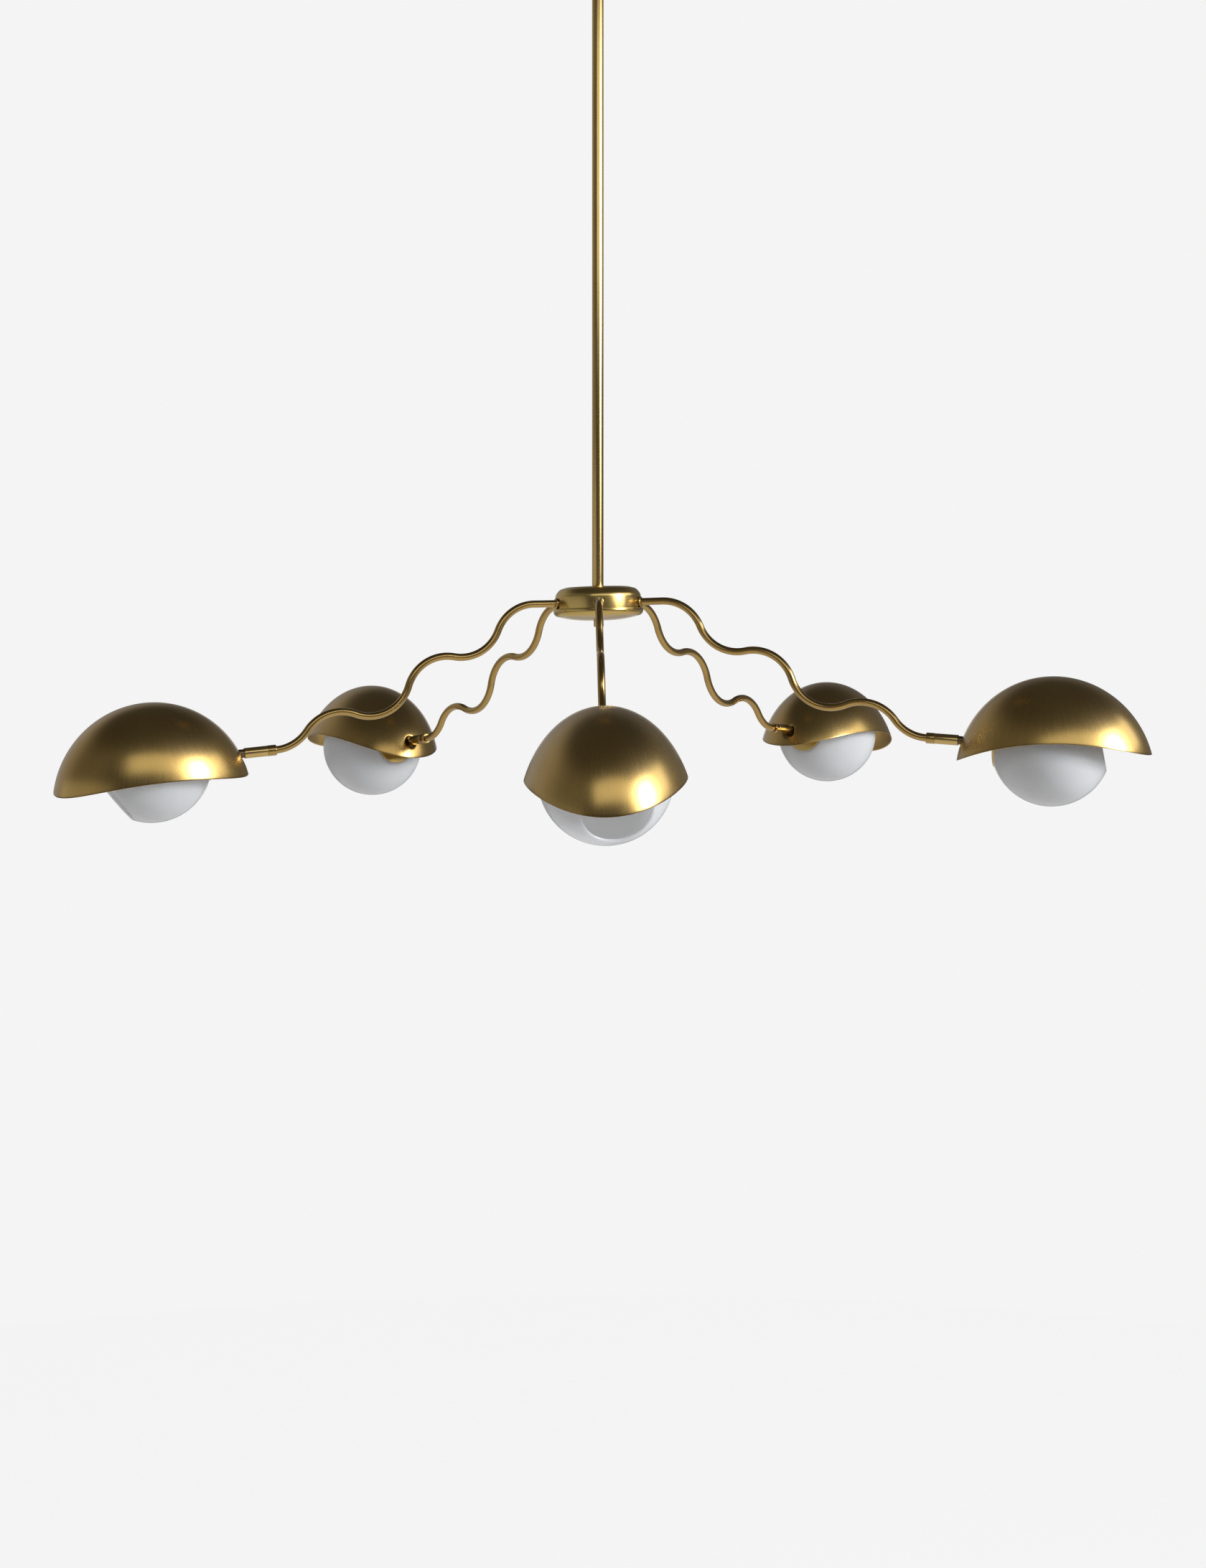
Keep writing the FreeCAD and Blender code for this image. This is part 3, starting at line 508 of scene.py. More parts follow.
def bulged(start, end, bulge):
    """Corners on an arc that stands out to the right of the line between two outline points."""
    start, end = Vector(start), Vector(end)
    line = end - start
    ahead = line.normalized()
    side = Vector((line.y, -line.x)).normalized() * (1 if bulge > 0 else -1)
    radius = (line.length ** 2 / 4 + bulge ** 2) / (2 * abs(bulge))
    centre = (start + end) / 2 - side * (radius - abs(bulge))
    half = math.asin(line.length / 2 / radius)
    corners = []
    for step in range(1, BULGE_STEPS):
        turn = half * (2 * step / BULGE_STEPS - 1)
        point = centre + (side * math.cos(turn) + ahead * math.sin(turn)) * radius
        corners.append((point.x, point.y, 0))
    return corners


def mesh_of(name, points, grain, closed_rows=True, shares=None, inside=None):
    """Mesh through rows of points in mm. Each row is a ring, and the last row may join the first.

    Rows that are one point are poles. The grain is kept as an attribute, and so are shares by row.
    The faces of rows marked inside take the second material.
    """
    rows, columns = points.shape[:2]
    count = rows * columns
    index = np.arange(count).reshape(rows, columns)
    following = np.roll(index, -1, axis=0) if closed_rows else index[1:]
    above = index if closed_rows else index[:-1]
    quads = np.stack([above, np.roll(above, -1, 1), np.roll(following, -1, 1), following], -1)
    mesh = bpy.data.meshes.new(name)
    mesh.from_pydata((points.reshape(count, 3) * MM).tolist(), [], quads.reshape(-1, 4).tolist())
    attribute = mesh.attributes.new("grain", "FLOAT_VECTOR", "POINT")
    attribute.data.foreach_set("vector", grain.reshape(-1).astype(np.float32))
    for label, share in (shares or {}).items():
        kept = mesh.attributes.new(label, "FLOAT", "POINT")
        kept.data.foreach_set("value", np.repeat(share, columns).astype(np.float32))
    if inside is not None:
        flags = np.repeat(inside, columns).astype(np.int32)
        mesh.polygons.foreach_set("material_index", flags[:len(mesh.polygons)])
    return tidied(mesh)


def tidied(mesh):
    """Merges poles, turns the faces outwards and smooths all but the sharp edges."""
    work = bmesh.new()
    work.from_mesh(mesh)
    bmesh.ops.remove_doubles(work, verts=work.verts, dist=1e-6)
    if work.calc_volume(signed=True) < 0:
        bmesh.ops.reverse_faces(work, faces=work.faces)
    work.to_mesh(mesh)
    work.free()
    mesh.polygons.foreach_set("use_smooth", [True] * len(mesh.polygons))
    mesh.set_sharp_from_angle(angle=math.radians(SHARP_ANGLE))
    return mesh


def turned(name, outline, steps=ROUND_STEPS, ribs=None):
    """Mesh turned about the Z axis from an outline of (height, radius) points.

    Ribs are a count, a depth and the radius beyond which they are cut.
    """
    heights = np.array([point[0] for point in outline])
    radii = np.array([point[1] for point in outline])
    around = np.linspace(0, 2 * math.pi, steps, endpoint=False)
    wide = np.repeat(radii[:, None], steps, axis=1)
    if ribs:
        count, depth, beyond = ribs
        cut = depth * (0.5 - 0.5 * np.cos(count * around))[None, :]
        wide = wide - np.where(radii[:, None] > beyond, cut, 0)
    points = np.stack([wide * np.cos(around), wide * np.sin(around),
                       np.repeat(heights[:, None], steps, axis=1)], -1)
    along = np.concatenate([[0], np.cumsum(np.hypot(np.diff(heights), np.diff(radii)))])
    size = max(radii)
    grain = np.stack([np.repeat(size * np.cos(around)[None, :], len(outline), 0),
                      np.repeat(size * np.sin(around)[None, :], len(outline), 0),
                      np.repeat(along[:, None], steps, 1)], -1)
    open_ends = radii[0] == 0 and radii[-1] == 0
    return mesh_of(name, points, grain, closed_rows=not open_ends)


def broken(corners):
    """Outline like rounded(), where a corner without a rounding gets the usual edge break."""
    return rounded([corner if len(corner) == 3 else corner + (EDGE_BREAK,) for corner in corners])


ALONG_X = Matrix.Rotation(math.radians(90), 4, "Y")


def arm_turn(index):
    return Matrix.Rotation(math.radians(FRONT + ARM_STEP * index), 4, "Z")


def course_step(angle, length):
    """Step of a length in an arm's plane, at an angle above level."""
    return Vector((length * math.cos(math.radians(angle)), 0, length * math.sin(math.radians(angle))))


def arm_course(sag):
    """Points of an arm's centre line from inside the hub to its end ring, and the ring's place."""
    points = [Vector((ARM_START, 0, 0)), Vector((ARM_STRAIGHT_END, 0, 0))]
    here, heading = points[-1], 0.0
    for plain_heading in ARM_HEADINGS:
        next_heading = plain_heading - sag
        side = 1 if next_heading > heading else -1
        centre = here + course_step(heading + 90, side * ARM_BEND_RADIUS)
        steps = max(2, round(abs(next_heading - heading) / COURSE_ANGLE))
        for step in range(1, steps + 1):
            angle = heading + (next_heading - heading) * step / steps
            points.append(centre + course_step(angle - 90, side * ARM_BEND_RADIUS))
        here, heading = points[-1], next_heading
    tip = Matrix.Translation(here * MM) @ Matrix.Rotation(math.radians(-heading), 4, "Y")
    points.append(here + course_step(heading, ARM_TUCK))
    return points, tip


# The hub's origin is in the arms' plane, and the hub leans about the rod's foot
rod_low, rod_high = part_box("stem_rod")
ROD_BOTTOM = rod_low.z / MM
ROD_TOP = rod_high.z / MM
ARM_PLANE = ROD_BOTTOM - LEAN_ROOM - CUP_TOP
foot = Matrix.Translation(Vector((0, 0, ROD_BOTTOM - LEAN_ROOM)) * MM)
HUB_PLACE = (foot @ Matrix.Rotation(math.radians(-HUB_LEAN), 4, "Y") @ foot.inverted()
             @ Matrix.Translation(Vector((0, 0, ARM_PLANE)) * MM))


def tip_place(index, name):
    """Place of an arm's end in the hub's frame, with X along the swivel's axis."""
    return arm_turn(index) @ arm_course(HEADS[name]["sag"])[1]


def head_place(index, name):
    return HUB_PLACE @ tip_place(index, name) @ Matrix.Rotation(math.radians(HEADS[name]["roll"]), 4, "X")


def piece(name, mesh, place, body, nodes, slot, *materials):
    """Puts a finished mesh in its place, on its body, in place of its nodes."""
    mesh.transform(place)
    mesh.materials.clear()
    for material in materials:
        mesh.materials.append(material)
    made = bpy.data.objects.new(name, mesh)
    bpy.context.scene.collection.objects.link(made)
    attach(made, body)
    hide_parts(*nodes)


class Geometry(Nodes):
    """Geometry nodes with named inputs, applied to one mesh or curve."""

    def __init__(self, name, sizes):
        super().__init__(bpy.data.node_groups.new(name, "GeometryNodeTree"))
        face = self.tree.interface
        face.new_socket("Geometry", in_out="INPUT", socket_type="NodeSocketGeometry")
        self.sockets = {}
        for label, (kind, value) in sizes.items():
            self.sockets[label] = face.new_socket(label, in_out="INPUT", socket_type=kind)
            if value is not None:
                self.sockets[label].default_value = value
        face.new_socket("Geometry", in_out="OUTPUT", socket_type="NodeSocketGeometry")
        self.inputs = self.tree.nodes.new("NodeGroupInput")

    def given(self, label):
        return self.out(self.inputs, label)

    def captured(self, geometry, label, value):
        """The geometry, and the value that a number has on each of its points."""
        node = self.add("GeometryNodeCaptureAttribute", None, {"Geometry": geometry})
        node.capture_items.new("FLOAT", label)
        self.tree.links.new(value.socket, node.inputs[1])
        return self.out(node), self.out(node, 1)

    def end(self, geometry):
        """Realizes the geometry, gives it the material and ends the tree."""
        real = self.add("GeometryNodeRealizeInstances", None, {"Geometry": geometry})
        dressed = self.add("GeometryNodeSetMaterial", None,
                           {"Geometry": self.out(real), "Material": self.given("Material")})
        self.add("NodeGroupOutput", None, {"Geometry": self.out(dressed)})
        return self

    def applied(self, data, values):
        """The plain mesh that the tree makes of a mesh or curve."""
        source = bpy.data.objects.new("source", data)
        bpy.context.scene.collection.objects.link(source)
        modifier = source.modifiers.new("tree", "NODES")
        modifier.node_group = self.tree
        for label, value in values.items():
            modifier[self.sockets[label].identifier] = value
        evaluated = source.evaluated_get(bpy.context.evaluated_depsgraph_get())
        made = bpy.data.meshes.new_from_object(evaluated)
        source.modifiers.remove(modifier)
        bpy.data.objects.remove(source)
        return made


def tube_tree():
    """Round tube along a curve, with its grain kept as an attribute."""
    tree = Geometry("tube_on_course", {"Radius": ("NodeSocketFloat", ARM_RADIUS * MM),
                                       "Sides": ("NodeSocketInt", TUBE_SIDES),
                                       "Material": ("NodeSocketMaterial", None)})
    spline = tree.add("GeometryNodeSplineParameter")
    course, along = tree.captured(tree.given("Geometry"), "along", tree.out(spline, "Length"))
    ring = tree.add("GeometryNodeCurvePrimitiveCircle", None,
                    {"Resolution": tree.given("Sides"), "Radius": tree.given("Radius")})
    profile, around = tree.captured(tree.out(ring, "Curve"), "around", tree.out(spline, "Factor"))
    tube = tree.add("GeometryNodeCurveToMesh", None,
                    {"Curve": course, "Profile Curve": profile, "Fill Caps": True})
    angle = around * (2 * math.pi)
    grain = tree.add("ShaderNodeCombineXYZ", None, {"X": tree.math("COSINE", angle) * ARM_RADIUS,
                                                    "Y": tree.math("SINE", angle) * ARM_RADIUS,
                                                    "Z": along * (1 / MM)})
    named = tree.add("GeometryNodeStoreNamedAttribute", {"data_type": "FLOAT_VECTOR", "domain": "POINT"},
                     {"Geometry": tree.out(tube, "Mesh"), "Name": "grain", "Value": tree.out(grain)})
    return tree.end(tree.out(named))


def round_tree():
    """Copies of a piece at equal steps round the hub's axis."""
    tree = Geometry("round_the_hub", {"Count": ("NodeSocketInt", len(HEADS)),
                                      "First": ("NodeSocketFloat", math.radians(FRONT)),
                                      "Step": ("NodeSocketFloat", math.radians(ARM_STEP)),
                                      "Material": ("NodeSocketMaterial", None)})
    spots = tree.add("GeometryNodePoints", None, {"Count": tree.given("Count")})
    number = tree.out(tree.add("GeometryNodeInputIndex"))
    turn = tree.add("ShaderNodeCombineXYZ", None, {"Z": number * tree.given("Step") + tree.given("First")})
    copies = tree.add("GeometryNodeInstanceOnPoints", None,
                      {"Points": tree.out(spots), "Instance": tree.given("Geometry"),
                       "Rotation": tree.out(turn)})
    return tree.end(tree.out(copies))


def course_curve():
    """The five arms' centre lines, one spline each, in the hub's frame."""
    curve = bpy.data.curves.new("arm_courses", "CURVE")
    curve.dimensions = "3D"
    for index, name in enumerate(HEADS):
        course = arm_course(HEADS[name]["sag"])[0]
        spline = curve.splines.new("POLY")
        spline.points.add(len(course) - 1)
        for point, place in zip(spline.points, course):
            point.co = (*(arm_turn(index) @ (place * MM)), 1.0)
    return curve


def ferrule():
    outline = broken([(FERRULE_END, TUBE_HOLE), (FERRULE_END, FERRULE_THREAD),
                      (FERRULE_SEAT, FERRULE_THREAD, 0), (FERRULE_SEAT, FERRULE_RADIUS, 0.1),
                      (FERRULE_FACE, FERRULE_RADIUS, 0.8), (FERRULE_FACE, TUBE_HOLE, 0.15)])
    mesh = turned("ferrule", outline, SMALL_STEPS)
    mesh.transform(ALONG_X)
    return mesh


def end_rings():
    outline = broken([(0, TUBE_HOLE, 0.15), (0, RING_RADIUS, 0.5), (RING_LENGTH, RING_RADIUS, 0.3),
                      (RING_LENGTH, JOURNAL_RADIUS, 0), (JOURNAL_END, JOURNAL_RADIUS),
                      (JOURNAL_END, LEAD_BORE), (ARM_TUCK, LEAD_BORE, 0), (ARM_TUCK, TUBE_HOLE, 0)])
    rings = bmesh.new()
    for index, name in enumerate(HEADS):
        ring = turned("end_ring", outline, SMALL_STEPS)
        ring.transform(tip_place(index, name) @ ALONG_X)
        rings.from_mesh(ring)
    mesh = bpy.data.meshes.new("end_rings")
    rings.to_mesh(mesh)
    rings.free()
    return mesh


def fixture_piece(name, mesh, nodes, brass, place=HUB_PLACE):
    piece(name, mesh, place, "fixture", nodes, "polished_brass", brass)


def build_arms(brass, hub_metal):
    """Five bent tubes with a ferrule at the hub and a ring with a journal at the end of each."""
    arms = tube_tree().applied(course_curve(), {"Material": brass})
    fixture_piece("arms", tidied(arms), ["arm_tube_" + name for name in HEADS], brass)
    ferrules = round_tree().applied(ferrule(), {"Material": hub_metal})
    fixture_piece("ferrules", tidied(ferrules), ["arm_ferrules"], hub_metal)
    fixture_piece("arm_rings", tidied(end_rings()), ["arm_end_rings"], brass)


def build_rod(brass):
    outline = broken([(ROD_BOTTOM, ROD_FOOT_BORE, 0.2), (ROD_BOTTOM, ROD_RADIUS, ROD_FOOT_ROUND),
                      (ROD_TOP, ROD_RADIUS, 0.4), (ROD_TOP, ROD_BORE, 0)])
    fixture_piece("rod", turned("rod", outline, SMALL_STEPS), ["stem_rod"], brass, Matrix.Identity(4))


def cup_outline():
    """Cup with an elliptical shoulder outside and a round corner inside."""
    quarter = np.linspace(math.pi / 2, 0, SHOULDER_STEPS + 1)
    shoulder = [(CUP_TOP - CUP_DROP * (1 - math.sin(angle)),
                 CUP_RADIUS - CUP_SHOULDER * (1 - math.cos(angle)), 0) for angle in quarter]
    inside = CUP_RADIUS - HUB_WALL
    return rounded([(CUP_TOP, ROD_FOOT_BORE, 0)] + shoulder
                   + [(CUP_BOTTOM, CUP_RADIUS, 0.2), (CUP_BOTTOM, inside, 0.2),
                      (CUP_TOP - HUB_WALL, inside, CUP_CORNER - HUB_WALL),
                      (CUP_TOP - HUB_WALL, ROD_FOOT_BORE, 0)])


def pan_outline():
    """Dished pan, whose overhanging lip takes the cup's edge."""
    flat = (PAN_BOTTOM, PAN_FLAT)
    shoulder = (PAN_BOTTOM + PAN_SHOULDER_RISE, PAN_RADIUS - PAN_SHOULDER_IN)
    lip = (PAN_TOP - PAN_LIP, PAN_RADIUS)
    seat, inside = CUP_RADIUS + PAN_GAP, CUP_RADIUS - HUB_WALL
    floor = PAN_BOTTOM + HUB_WALL
    return rounded([(PAN_BOTTOM, NIPPLE_HOLE, 0), flat + (0,)]
                   + bulged(flat, shoulder, -PAN_FLOOR_BULGE) + [shoulder + (1.2,)]
                   + bulged(shoulder, lip, -PAN_BEND_BULGE)
                   + [lip + (0.8,), (PAN_TOP, PAN_RADIUS, 0.9), (PAN_TOP, seat, 0.3),
                      (CUP_BOTTOM, seat, 0), (CUP_BOTTOM, inside, 0), (lip[0], inside, 0),
                      (shoulder[0] + HUB_WALL, shoulder[1], 0), (floor, PAN_FLAT, 0),
                      (floor, NIPPLE_HOLE, 0)])


def build_hub(brass):
    """Cup over a pan, and the finial under them."""
    fixture_piece("hub_cup", turned("hub_cup", cup_outline(), HUB_STEPS), ["hub_upper_cup"], brass)
    fixture_piece("hub_pan", turned("hub_pan", pan_outline(), HUB_STEPS), ["hub_lower_pan"], brass)
    end = PAN_BOTTOM - FINIAL_HEIGHT
    knob = rounded([(end, 0, 0), (end, FINIAL_RADIUS, 1.0), (PAN_BOTTOM, FINIAL_RADIUS, 0.4),
                    (PAN_BOTTOM, 0, 0)])
    fixture_piece("finial_knob", turned("finial_knob", knob, SMALL_STEPS), ["finial"], brass)


def build_canopy(brass):
    """Round canopy, and the ribbed ring nut that holds it up."""
    bottom, inside = -CANOPY_DEPTH, CANOPY_RADIUS - CANOPY_WALL
    bowl = rounded([(bottom, NIPPLE_HOLE, 0), (bottom, CANOPY_RADIUS, CANOPY_CORNER),
                    (0, CANOPY_RADIUS, 0.3), (0, inside, 0.3),
                    (bottom + CANOPY_WALL, inside, CANOPY_CORNER - CANOPY_WALL),
                    (bottom + CANOPY_WALL, NIPPLE_HOLE, 0)])
    piece("canopy_bowl", turned("canopy_bowl", bowl, CANOPY_STEPS), Matrix.Identity(4), "ceiling_set",
          ["canopy"], "polished_brass", brass)
    end = bottom - COLLAR_HEIGHT
    waist = bulged((bottom, COLLAR_RADIUS), (end, COLLAR_RADIUS), -COLLAR_WAIST)
    ring = rounded([(bottom, NIPPLE_HOLE, 0), (bottom, COLLAR_RADIUS, 0.5)] + waist
                   + [(end, COLLAR_RADIUS, 0.5), (end, NIPPLE_HOLE, 0)])
    ribs = (COLLAR_RIBS, COLLAR_RIB_DEPTH, COLLAR_RADIUS - COLLAR_RIM)
    piece("collar", turned("collar", ring, COLLAR_RIBS * STEPS_PER_RIB, ribs), Matrix.Identity(4),
          "ceiling_set", ["canopy_collar"], "polished_brass", brass)


def shade_skin(inset, place):
    """Points and grain of one skin of a shade, from its crown to its edge, dented round the neck."""
    half_length, half_width, half_height = (size - inset for size in SHADE_HALF_SIZES)
    edge_curve = (SHADE_HALF_SIZES[0] ** 2 + RIM_DROP ** 2) / (2 * RIM_DROP)
    edge_height = RIM_HEIGHT + SHADE_WALL / 2
    share = np.arange(SHADE_COLUMNS) / SHADE_COLUMNS
    around = 2 * math.pi * share + COLUMN_CROWDING * np.sin(2 * math.pi * share)
    low, high = np.zeros(SHADE_COLUMNS), np.full(SHADE_COLUMNS, math.pi / 2)
    for _ in range(EDGE_HALVINGS):
        middle = (low + high) / 2
        x = half_length * np.sin(middle) * np.cos(around)
        above = half_height * np.cos(middle) > edge_height - edge_curve + np.sqrt(edge_curve ** 2 - x ** 2)
        low, high = np.where(above, middle, low), np.where(above, high, middle)
    fall = np.linspace(0, 1, SHADE_ROWS)[:, None] * low[None, :]
    points = np.stack([half_length * np.sin(fall) * np.cos(around),
                       half_width * np.sin(fall) * np.sin(around),
                       half_height * np.cos(fall)], -1)
    points = points @ place[:3, :3].T + place[:3, 3]
    from_neck = np.hypot(points[..., 1], points[..., 2])
    slope = math.tan(math.radians(DENT_SLOPE))
    dent = NECK_SEAT + inset - np.maximum(from_neck - DENT_FLAT, 0) / slope
    gap = points[..., 0] - dent
    soft = dent + (gap + np.sqrt(gap ** 2 + DENT_SOFTNESS ** 2)) / 2
    dented = (from_neck < DENT_REACH) & (points[..., 0] < NECK_SEAT + DENT_END)
    points[..., 0] = np.where(dented, soft, points[..., 0])
    grain = np.stack([np.broadcast_to(SHADE_GRAIN_ROUND * np.cos(around), fall.shape),
                      np.broadcast_to(SHADE_GRAIN_ROUND * np.sin(around), fall.shape),
                      SHADE_GRAIN_DOWN * fall], -1)
    return points, grain


def shade_mesh(pitch):
    """Domed shade with a half-round hem, in the head's frame."""
    half_length, _, half_height = SHADE_HALF_SIZES
    dent_top = (SHADE_DOWN + DENT_FLAT) / half_height
    reach = half_length * math.sqrt(1 - dent_top ** 2) - DENT_DEPTH
    place = np.array(Matrix.Translation((NECK_SEAT, 0, 0)) @ Matrix.Rotation(math.radians(pitch), 4, "Y")
                     @ Matrix.Translation((reach, 0, -SHADE_DOWN)))
    outer, grain = shade_skin(0.0, place)
    inner, inner_grain = shade_skin(SHADE_WALL, place)
    middle, out = (outer[-1] + inner[-1]) / 2, (outer[-1] - inner[-1]) / 2
    ahead = outer[-1] - outer[-2]
    ahead *= np.linalg.norm(out, axis=1, keepdims=True) / np.linalg.norm(ahead, axis=1, keepdims=True)
    turns = [math.pi * step / HEM_STEPS for step in range(1, HEM_STEPS)]
    hem = np.stack([middle + out * math.cos(turn) + ahead * math.sin(turn) for turn in turns])
    hem_grain = np.repeat(grain[-1:], len(turns), axis=0)
    points = np.concatenate([outer, hem, inner[::-1]])
    inside = np.concatenate([np.zeros(SHADE_ROWS + len(turns)), np.ones(SHADE_ROWS)])
    # The last rows of the outside carry the painted shade line along the rim.
    edge = np.zeros(len(points))
    edge[SHADE_ROWS - len(RIM_SHADE_SHARES):SHADE_ROWS] = RIM_SHADE_SHARES
    return mesh_of("shade", points, np.concatenate([grain, hem_grain, inner_grain[::-1]]),
                   closed_rows=False, inside=inside, shares={"edge": edge})


def globe_mesh(mouth_down, mouth_side):
    """Ball with a rounded lip round its mouth and a flat, holed base, in the head's frame."""
    out = Vector((1, 0, 0))
    mouth = (Matrix.Rotation(math.radians(mouth_side), 3, "Z")
             @ Matrix.Rotation(math.radians(mouth_down), 3, "Y")) @ out
    first = mouth.cross(out).normalized()
    to_base = math.sqrt(GLOBE_RADIUS ** 2 - GLOBE_BASE_RADIUS ** 2)
    centre = Vector((GLOBE_BASE + to_base, 0, 0))
    around = np.linspace(0, 2 * math.pi, GLOBE_COLUMNS, endpoint=False)
    wall = GLOBE_WALL / 2
    middle_radius = GLOBE_RADIUS - wall
    lip_angle = math.radians(MOUTH_HALF_ANGLE) + wall / middle_radius

    def ring(normal, height, radius):
        """Circle about a direction through the ball's centre."""
        second = normal.cross(first)
        return (np.array(centre + normal * height)[None, :]
                + radius * (np.cos(around)[:, None] * np.array(first)[None, :]
                            + np.sin(around)[:, None] * np.array(second)[None, :]))

    def ball_rings(radius, base_height):
        """Rings from the mouth's circle to the base's, each on a plane between their planes."""
        made = []
        base_angle = math.pi - math.acos(base_height / radius)
        for step in range(1, GLOBE_ROWS):
            wanted = lip_angle + (base_angle - lip_angle) * (step / GLOBE_ROWS)
            low, high = 0.0, 1.0
            for _ in range(LEVEL_HALVINGS):
                level = (low + high) / 2
                normal = mouth * (1 - level) + out * level
                height = (radius * math.cos(lip_angle) * (1 - level) - base_height * level) / normal.length
                if math.acos(max(-1, min(1, height / radius))) < wanted:
                    low = level
                else:
                    high = level
            made.append(ring(normal.normalized(), height, math.sqrt(max(radius ** 2 - height ** 2, 0))))
        return made

    lip = []
    for step in range(LIP_STEPS + 1):
        turn = math.pi * step / LIP_STEPS
        radius = middle_radius + wall * math.cos(turn)
        angle = lip_angle - wall / middle_radius * math.sin(turn)
        lip.append(ring(mouth, radius * math.cos(angle), radius * math.sin(angle)))
    inner_radius, inner_height = GLOBE_RADIUS - GLOBE_WALL, to_base - GLOBE_WALL
    inner_flat = math.sqrt(inner_radius ** 2 - inner_height ** 2)
    hole_edge = GLOBE_HOLE + GLOBE_HOLE_BAND
    floor = [ring(out, -inner_height, radius) for radius in (inner_flat, hole_edge, GLOBE_HOLE)]
    base = [ring(out, -to_base, radius) for radius in (GLOBE_HOLE, hole_edge, GLOBE_BASE_RADIUS)]
    points = np.stack(lip + ball_rings(inner_radius, inner_height) + floor + base
                      + ball_rings(GLOBE_RADIUS - GLOBE_TRIM, to_base)[::-1])
    on_lip = np.zeros(len(points))
    on_lip[1:LIP_STEPS] = 1
    return mesh_of("globe", points, points, shares={"lip": on_lip})


def holder_outline():
    """Lamp holder, whose bore is grooved like a screw thread."""
    turns = [step / GROOVE_STEPS for step in range(GROOVE_STEPS * CAP_TURNS + 1)]
    thread = [(HOLDER_END - CAP_LEAD_IN - CAP_PITCH * turn,
               HOLDER_BORE + CAP_GROOVE * (0.5 - 0.5 * math.cos(2 * math.pi * turn)), 0) for turn in turns]
    return rounded([(GLOBE_BASE, DISC_BORE, 0), (GLOBE_BASE, HOLDER_RADIUS, 0.3),
                    (HOLDER_END, HOLDER_RADIUS, 1.0), (HOLDER_END, HOLDER_BORE, 0.8)] + thread
                   + [(HOLDER_INSIDE, HOLDER_BORE, 0), (HOLDER_INSIDE, DISC_BORE, 0.2)])


def build_head(index, name, finishes):
    """One lamp head: sleeve, neck, disc, lamp holder, lock ring, shade and globe."""
    setting = HEADS[name]
    body = "head_" + name
    place = head_place(index, name)

    def add(label, outline, node, slot, material, steps=SMALL_STEPS, ribs=None):
        piece(label + "_" + name, turned(label, outline, steps, ribs), place @ ALONG_X, body,
              [node + "_" + name], slot, material)

    add("sleeve", rounded([(SLEEVE_START, JOURNAL_HOLE, 0), (SLEEVE_START, SLEEVE_RADIUS, 0.3),
                           (SLEEVE_END, SLEEVE_RADIUS, 0.3), (SLEEVE_END, CHAMBER_RADIUS, 0),
                           (CHAMBER_START, CHAMBER_RADIUS, 0), (CHAMBER_START, JOURNAL_HOLE, 0)]),
        "swivel_sleeve", "polished_brass", finishes["rod"])
    add("neck", rounded([(PLUG_START, LEAD_BORE, 0), (PLUG_START, NECK_RADIUS, 0),
                         (NECK_SEAT, NECK_RADIUS, 0.2), (NECK_SEAT, NECK_THREAD, 0),
                         (HOLDER_INSIDE, NECK_THREAD, 0.3), (HOLDER_INSIDE, LEAD_BORE, 0.2)]),
        "neck_bush", "dark_brass", finishes["neck"])
    add("disc", rounded([(SPACER_START, DISC_BORE, 0), (SPACER_START, SPACER_RADIUS, 0.2),
                         (DISC_START, SPACER_RADIUS, 0.6), (DISC_START, DISC_RADIUS, 0.5),
                         (GLOBE_BASE, DISC_RADIUS, 0.5), (GLOBE_BASE, DISC_BORE, 0)]),
        "globe_disc", "aged_brass", finishes["hub"], ROUND_STEPS)
    add("holder", holder_outline(), "lamp_holder", "black_plastic", finishes["plastic"])
    add("lock", rounded([(LOCK_RING_START, LOCK_RING_BORE, 0), (LOCK_RING_START, LOCK_RING_RADIUS, 0.4),
                         (LOCK_RING_END, LOCK_RING_RADIUS, 0.6), (LOCK_RING_END, LOCK_RING_BORE, 0.2)]),
        "lock_ring", "black_plastic", finishes["plastic"], LOCK_RING_NOTCHES * STEPS_PER_NOTCH,
        (LOCK_RING_NOTCHES, LOCK_RING_NOTCH_DEPTH, LOCK_RING_NOTCH_FLOOR))
    piece("dome_" + name, shade_mesh(setting["pitch"]), place, body, ["shade_" + name], "aged_brass",
          finishes["shade"], finishes["inside"])
    piece("opal_" + name, globe_mesh(setting["mouth_down"], setting["mouth_side"]), place, body,
          ["globe_" + name], "opal_glass", finishes["opal"])


def dress_hidden(finishes):
    """Materials for the small pieces that keep their own solids."""
    dresses = {
        "zinc": ["ceiling_plate", "canopy_nipple", "nipple_nut", "hub_plate", "hub_nipple", "hub_nuts",
                 "ferrule_nuts"],
        "spring": ["swivel_clips"],
        "satin": ["yoke_cap", "swivel_yoke", "swivel_pin", "swivel_eye"],
    }
    for key, nodes in dresses.items():
        for node in nodes:
            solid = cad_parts[node]
            solid.data.materials.clear()
            solid.data.materials.append(finishes[key])


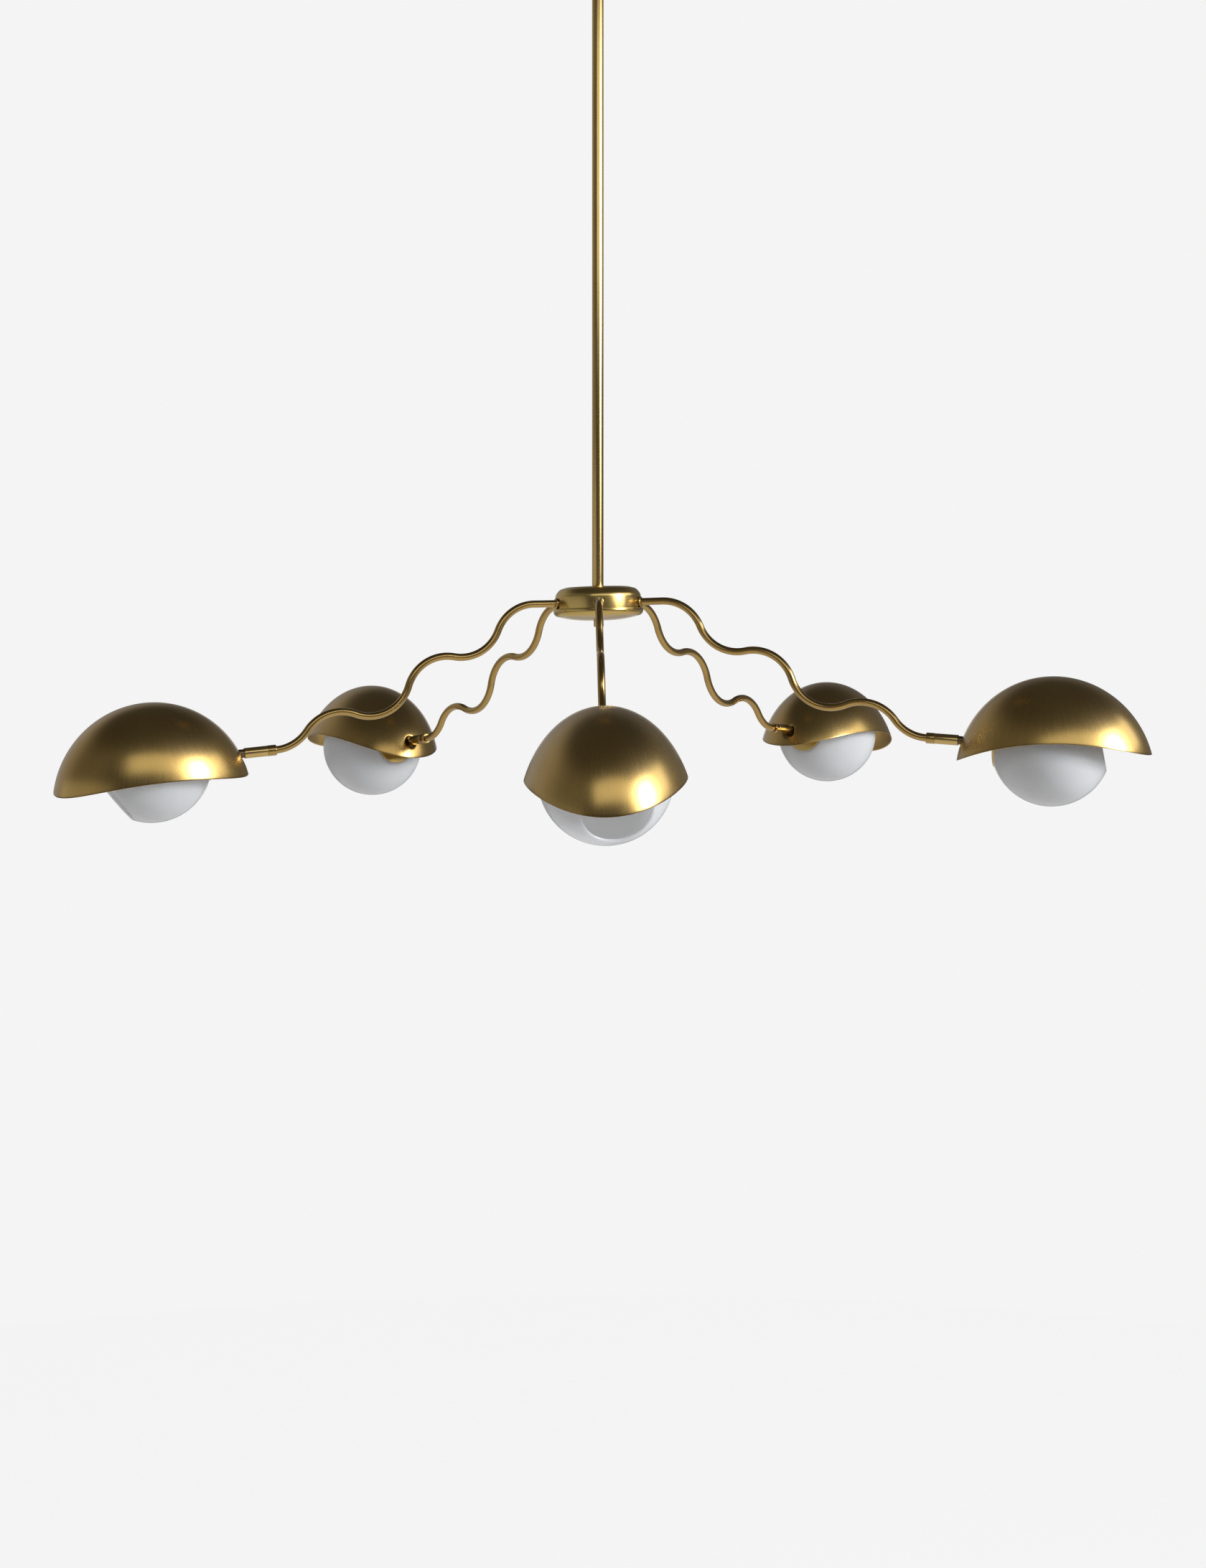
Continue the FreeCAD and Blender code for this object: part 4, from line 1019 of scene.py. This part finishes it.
def build_camera():
    data = bpy.data.cameras.new("camera")
    data.sensor_width = SENSOR
    data.lens = FOCAL_PIXELS * SENSOR / PICTURE_HEIGHT
    data.shift_y = -(PICTURE_HEIGHT / 2 - HORIZON_ROW) / PICTURE_HEIGHT
    data.clip_start, data.clip_end = CLIPPING
    camera = bpy.data.objects.new("camera", data)
    turn = Matrix.Rotation(math.radians(CAMERA_TURN), 4, "Z")
    place = Vector((CAMERA_SIDE, -CAMERA_DISTANCE, ARM_PLANE - CAMERA_DROP)) * MM
    camera.matrix_world = turn @ Matrix.Translation(place) @ Matrix.Rotation(math.radians(90), 4, "X")
    bpy.context.scene.collection.objects.link(camera)
    bpy.context.scene.camera = camera


def shown_rays(nodes):
    """One for rays seen directly, and one for rays mirrored in metal or sent through glass."""
    path = nodes.add("ShaderNodeLightPath")
    kinds = [nodes.out(path, kind) for kind in ("Is Camera Ray", "Is Glossy Ray", "Is Transmission Ray")]
    return kinds[0], kinds[1] + kinds[2]


def blended(share, first, second):
    """The first value where the share is 0, and the second where it is 1."""
    return first * (1 - share) + share * second


def build_world():
    """White background, and for the light itself a studio: pale beside, darker above and in front."""
    world = bpy.data.worlds.new("studio")
    bpy.context.scene.world = world
    nodes = Shading(world)
    way = nodes.add("ShaderNodeSeparateXYZ", None,
                    {0: nodes.out(nodes.add("ShaderNodeTexCoord"), "Generated")})
    x, y, z = (nodes.out(way, axis) for axis in range(3))
    left = nodes.ramp(x, *LEFT_FADE)
    rear = nodes.ramp(y, *REAR_FADE)
    walls = SIDE_RIGHT + left * (SIDE_LEFT - SIDE_RIGHT + rear * (REAR_LEFT - SIDE_LEFT))
    walls = blended(nodes.ramp(y, *FRONT_FADE), walls, SIDE_FRONT)
    walls = blended(nodes.ramp(z, *BELOW_FADE), walls, SIDE_BELOW)
    walls = blended(nodes.ramp(z, *ABOVE_FADE), walls, CEILING)
    behind = nodes.ramp(y, *(math.cos(math.radians(angle)) for angle in MIRRORED_BACKDROP))
    camera_ray, mirror_ray = shown_rays(nodes)
    strength = blended(camera_ray + mirror_ray * behind, walls, BACKDROP)
    sky = nodes.add("ShaderNodeBackground", None, {"Color": colour(1, 1, 1), "Strength": strength})
    nodes.add("ShaderNodeOutputWorld", None, {"Surface": nodes.out(sky)})


def build_floor():
    """Pale floor that keeps the light's shadow and shows the background's white."""
    material = bpy.data.materials.new("pale_floor")
    material.cycles.emission_sampling = "NONE"
    nodes = Shading(material)
    matt = nodes.add("ShaderNodeBsdfDiffuse", None, {"Color": colour(FLOOR_GREY, FLOOR_GREY, FLOOR_GREY)})
    white = nodes.add("ShaderNodeEmission", None, {"Color": colour(1, 1, 1), "Strength": FLOOR_WHITE})
    camera_ray, mirror_ray = shown_rays(nodes)
    glow = FLOOR_GLOW + (camera_ray + mirror_ray * FLOOR_MIRRORED) * (FLOOR_SHOWN - FLOOR_GLOW)
    nodes.surface(nodes.add("ShaderNodeMixShader", None,
                            {0: glow, 1: nodes.out(matt), 2: nodes.out(white)}))
    work = bmesh.new()
    bmesh.ops.create_circle(work, cap_ends=True, segments=FLOOR_SIDES, radius=FLOOR_RADIUS)
    mesh = bpy.data.meshes.new("floor")
    work.to_mesh(mesh)
    work.free()
    mesh.materials.append(material)
    floor = bpy.data.objects.new("floor", mesh)
    floor.location.z = FLOOR_HEIGHT
    bpy.context.scene.collection.objects.link(floor)


def softbox(name, azimuth, height, distance, spread, level, roll=0.0):
    """Rectangular lamp that faces the hub and stays out of the picture."""
    hub = Vector((0, 0, ARM_PLANE * MM))
    turn, rise = math.radians(azimuth), math.radians(height)
    way = Vector((math.sin(turn) * math.cos(rise), -math.cos(turn) * math.cos(rise), math.sin(rise)))
    data = bpy.data.lights.new(name, "AREA")
    data.shape = "RECTANGLE"
    data.size, data.size_y = (2 * distance * math.tan(math.radians(angle) / 2) for angle in spread)
    data.energy = level * math.pi * data.size * data.size_y
    data.color = LAMP_TONE
    lamp = bpy.data.objects.new(name, data)
    lamp.location = hub + way * distance
    lamp.rotation_euler = (-way).to_track_quat("-Z", "Y").to_euler()
    lamp.rotation_euler.rotate_axis("Z", math.radians(roll))
    lamp.visible_camera = False
    bpy.context.scene.collection.objects.link(lamp)


build_camera()
build_world()
build_floor()
for name, setting in SOFTBOXES.items():
    softbox(name, **setting)

finishes = {
    "shade": shade_outside(),
    "inside": shade_inside(),
    "rod": rod_brass(),
    "arm": shade_darkened_arm_brass(),
    "hub": hub_brass(),
    "neck": neck_brass(),
    "opal": opal_glass(),
    "plastic": moulded_plastic(),
    "zinc": plain_metal("zinc_plate", tone=(0.62, 0.63, 0.64), roughness=0.35),
    "spring": plain_metal("spring_steel", tone=(0.3, 0.31, 0.33), roughness=0.3),
    "satin": plain_metal("satin_brass", tone=(0.62, 0.46, 0.22), roughness=0.3),
}
build_rod(finishes["rod"])
build_hub(finishes["hub"])
build_canopy(finishes["hub"])
build_arms(finishes["arm"], finishes["hub"])
for index, name in enumerate(HEADS):
    build_head(index, name, finishes)
dress_hidden(finishes)

view = bpy.context.scene.view_settings
view.view_transform = "Standard"
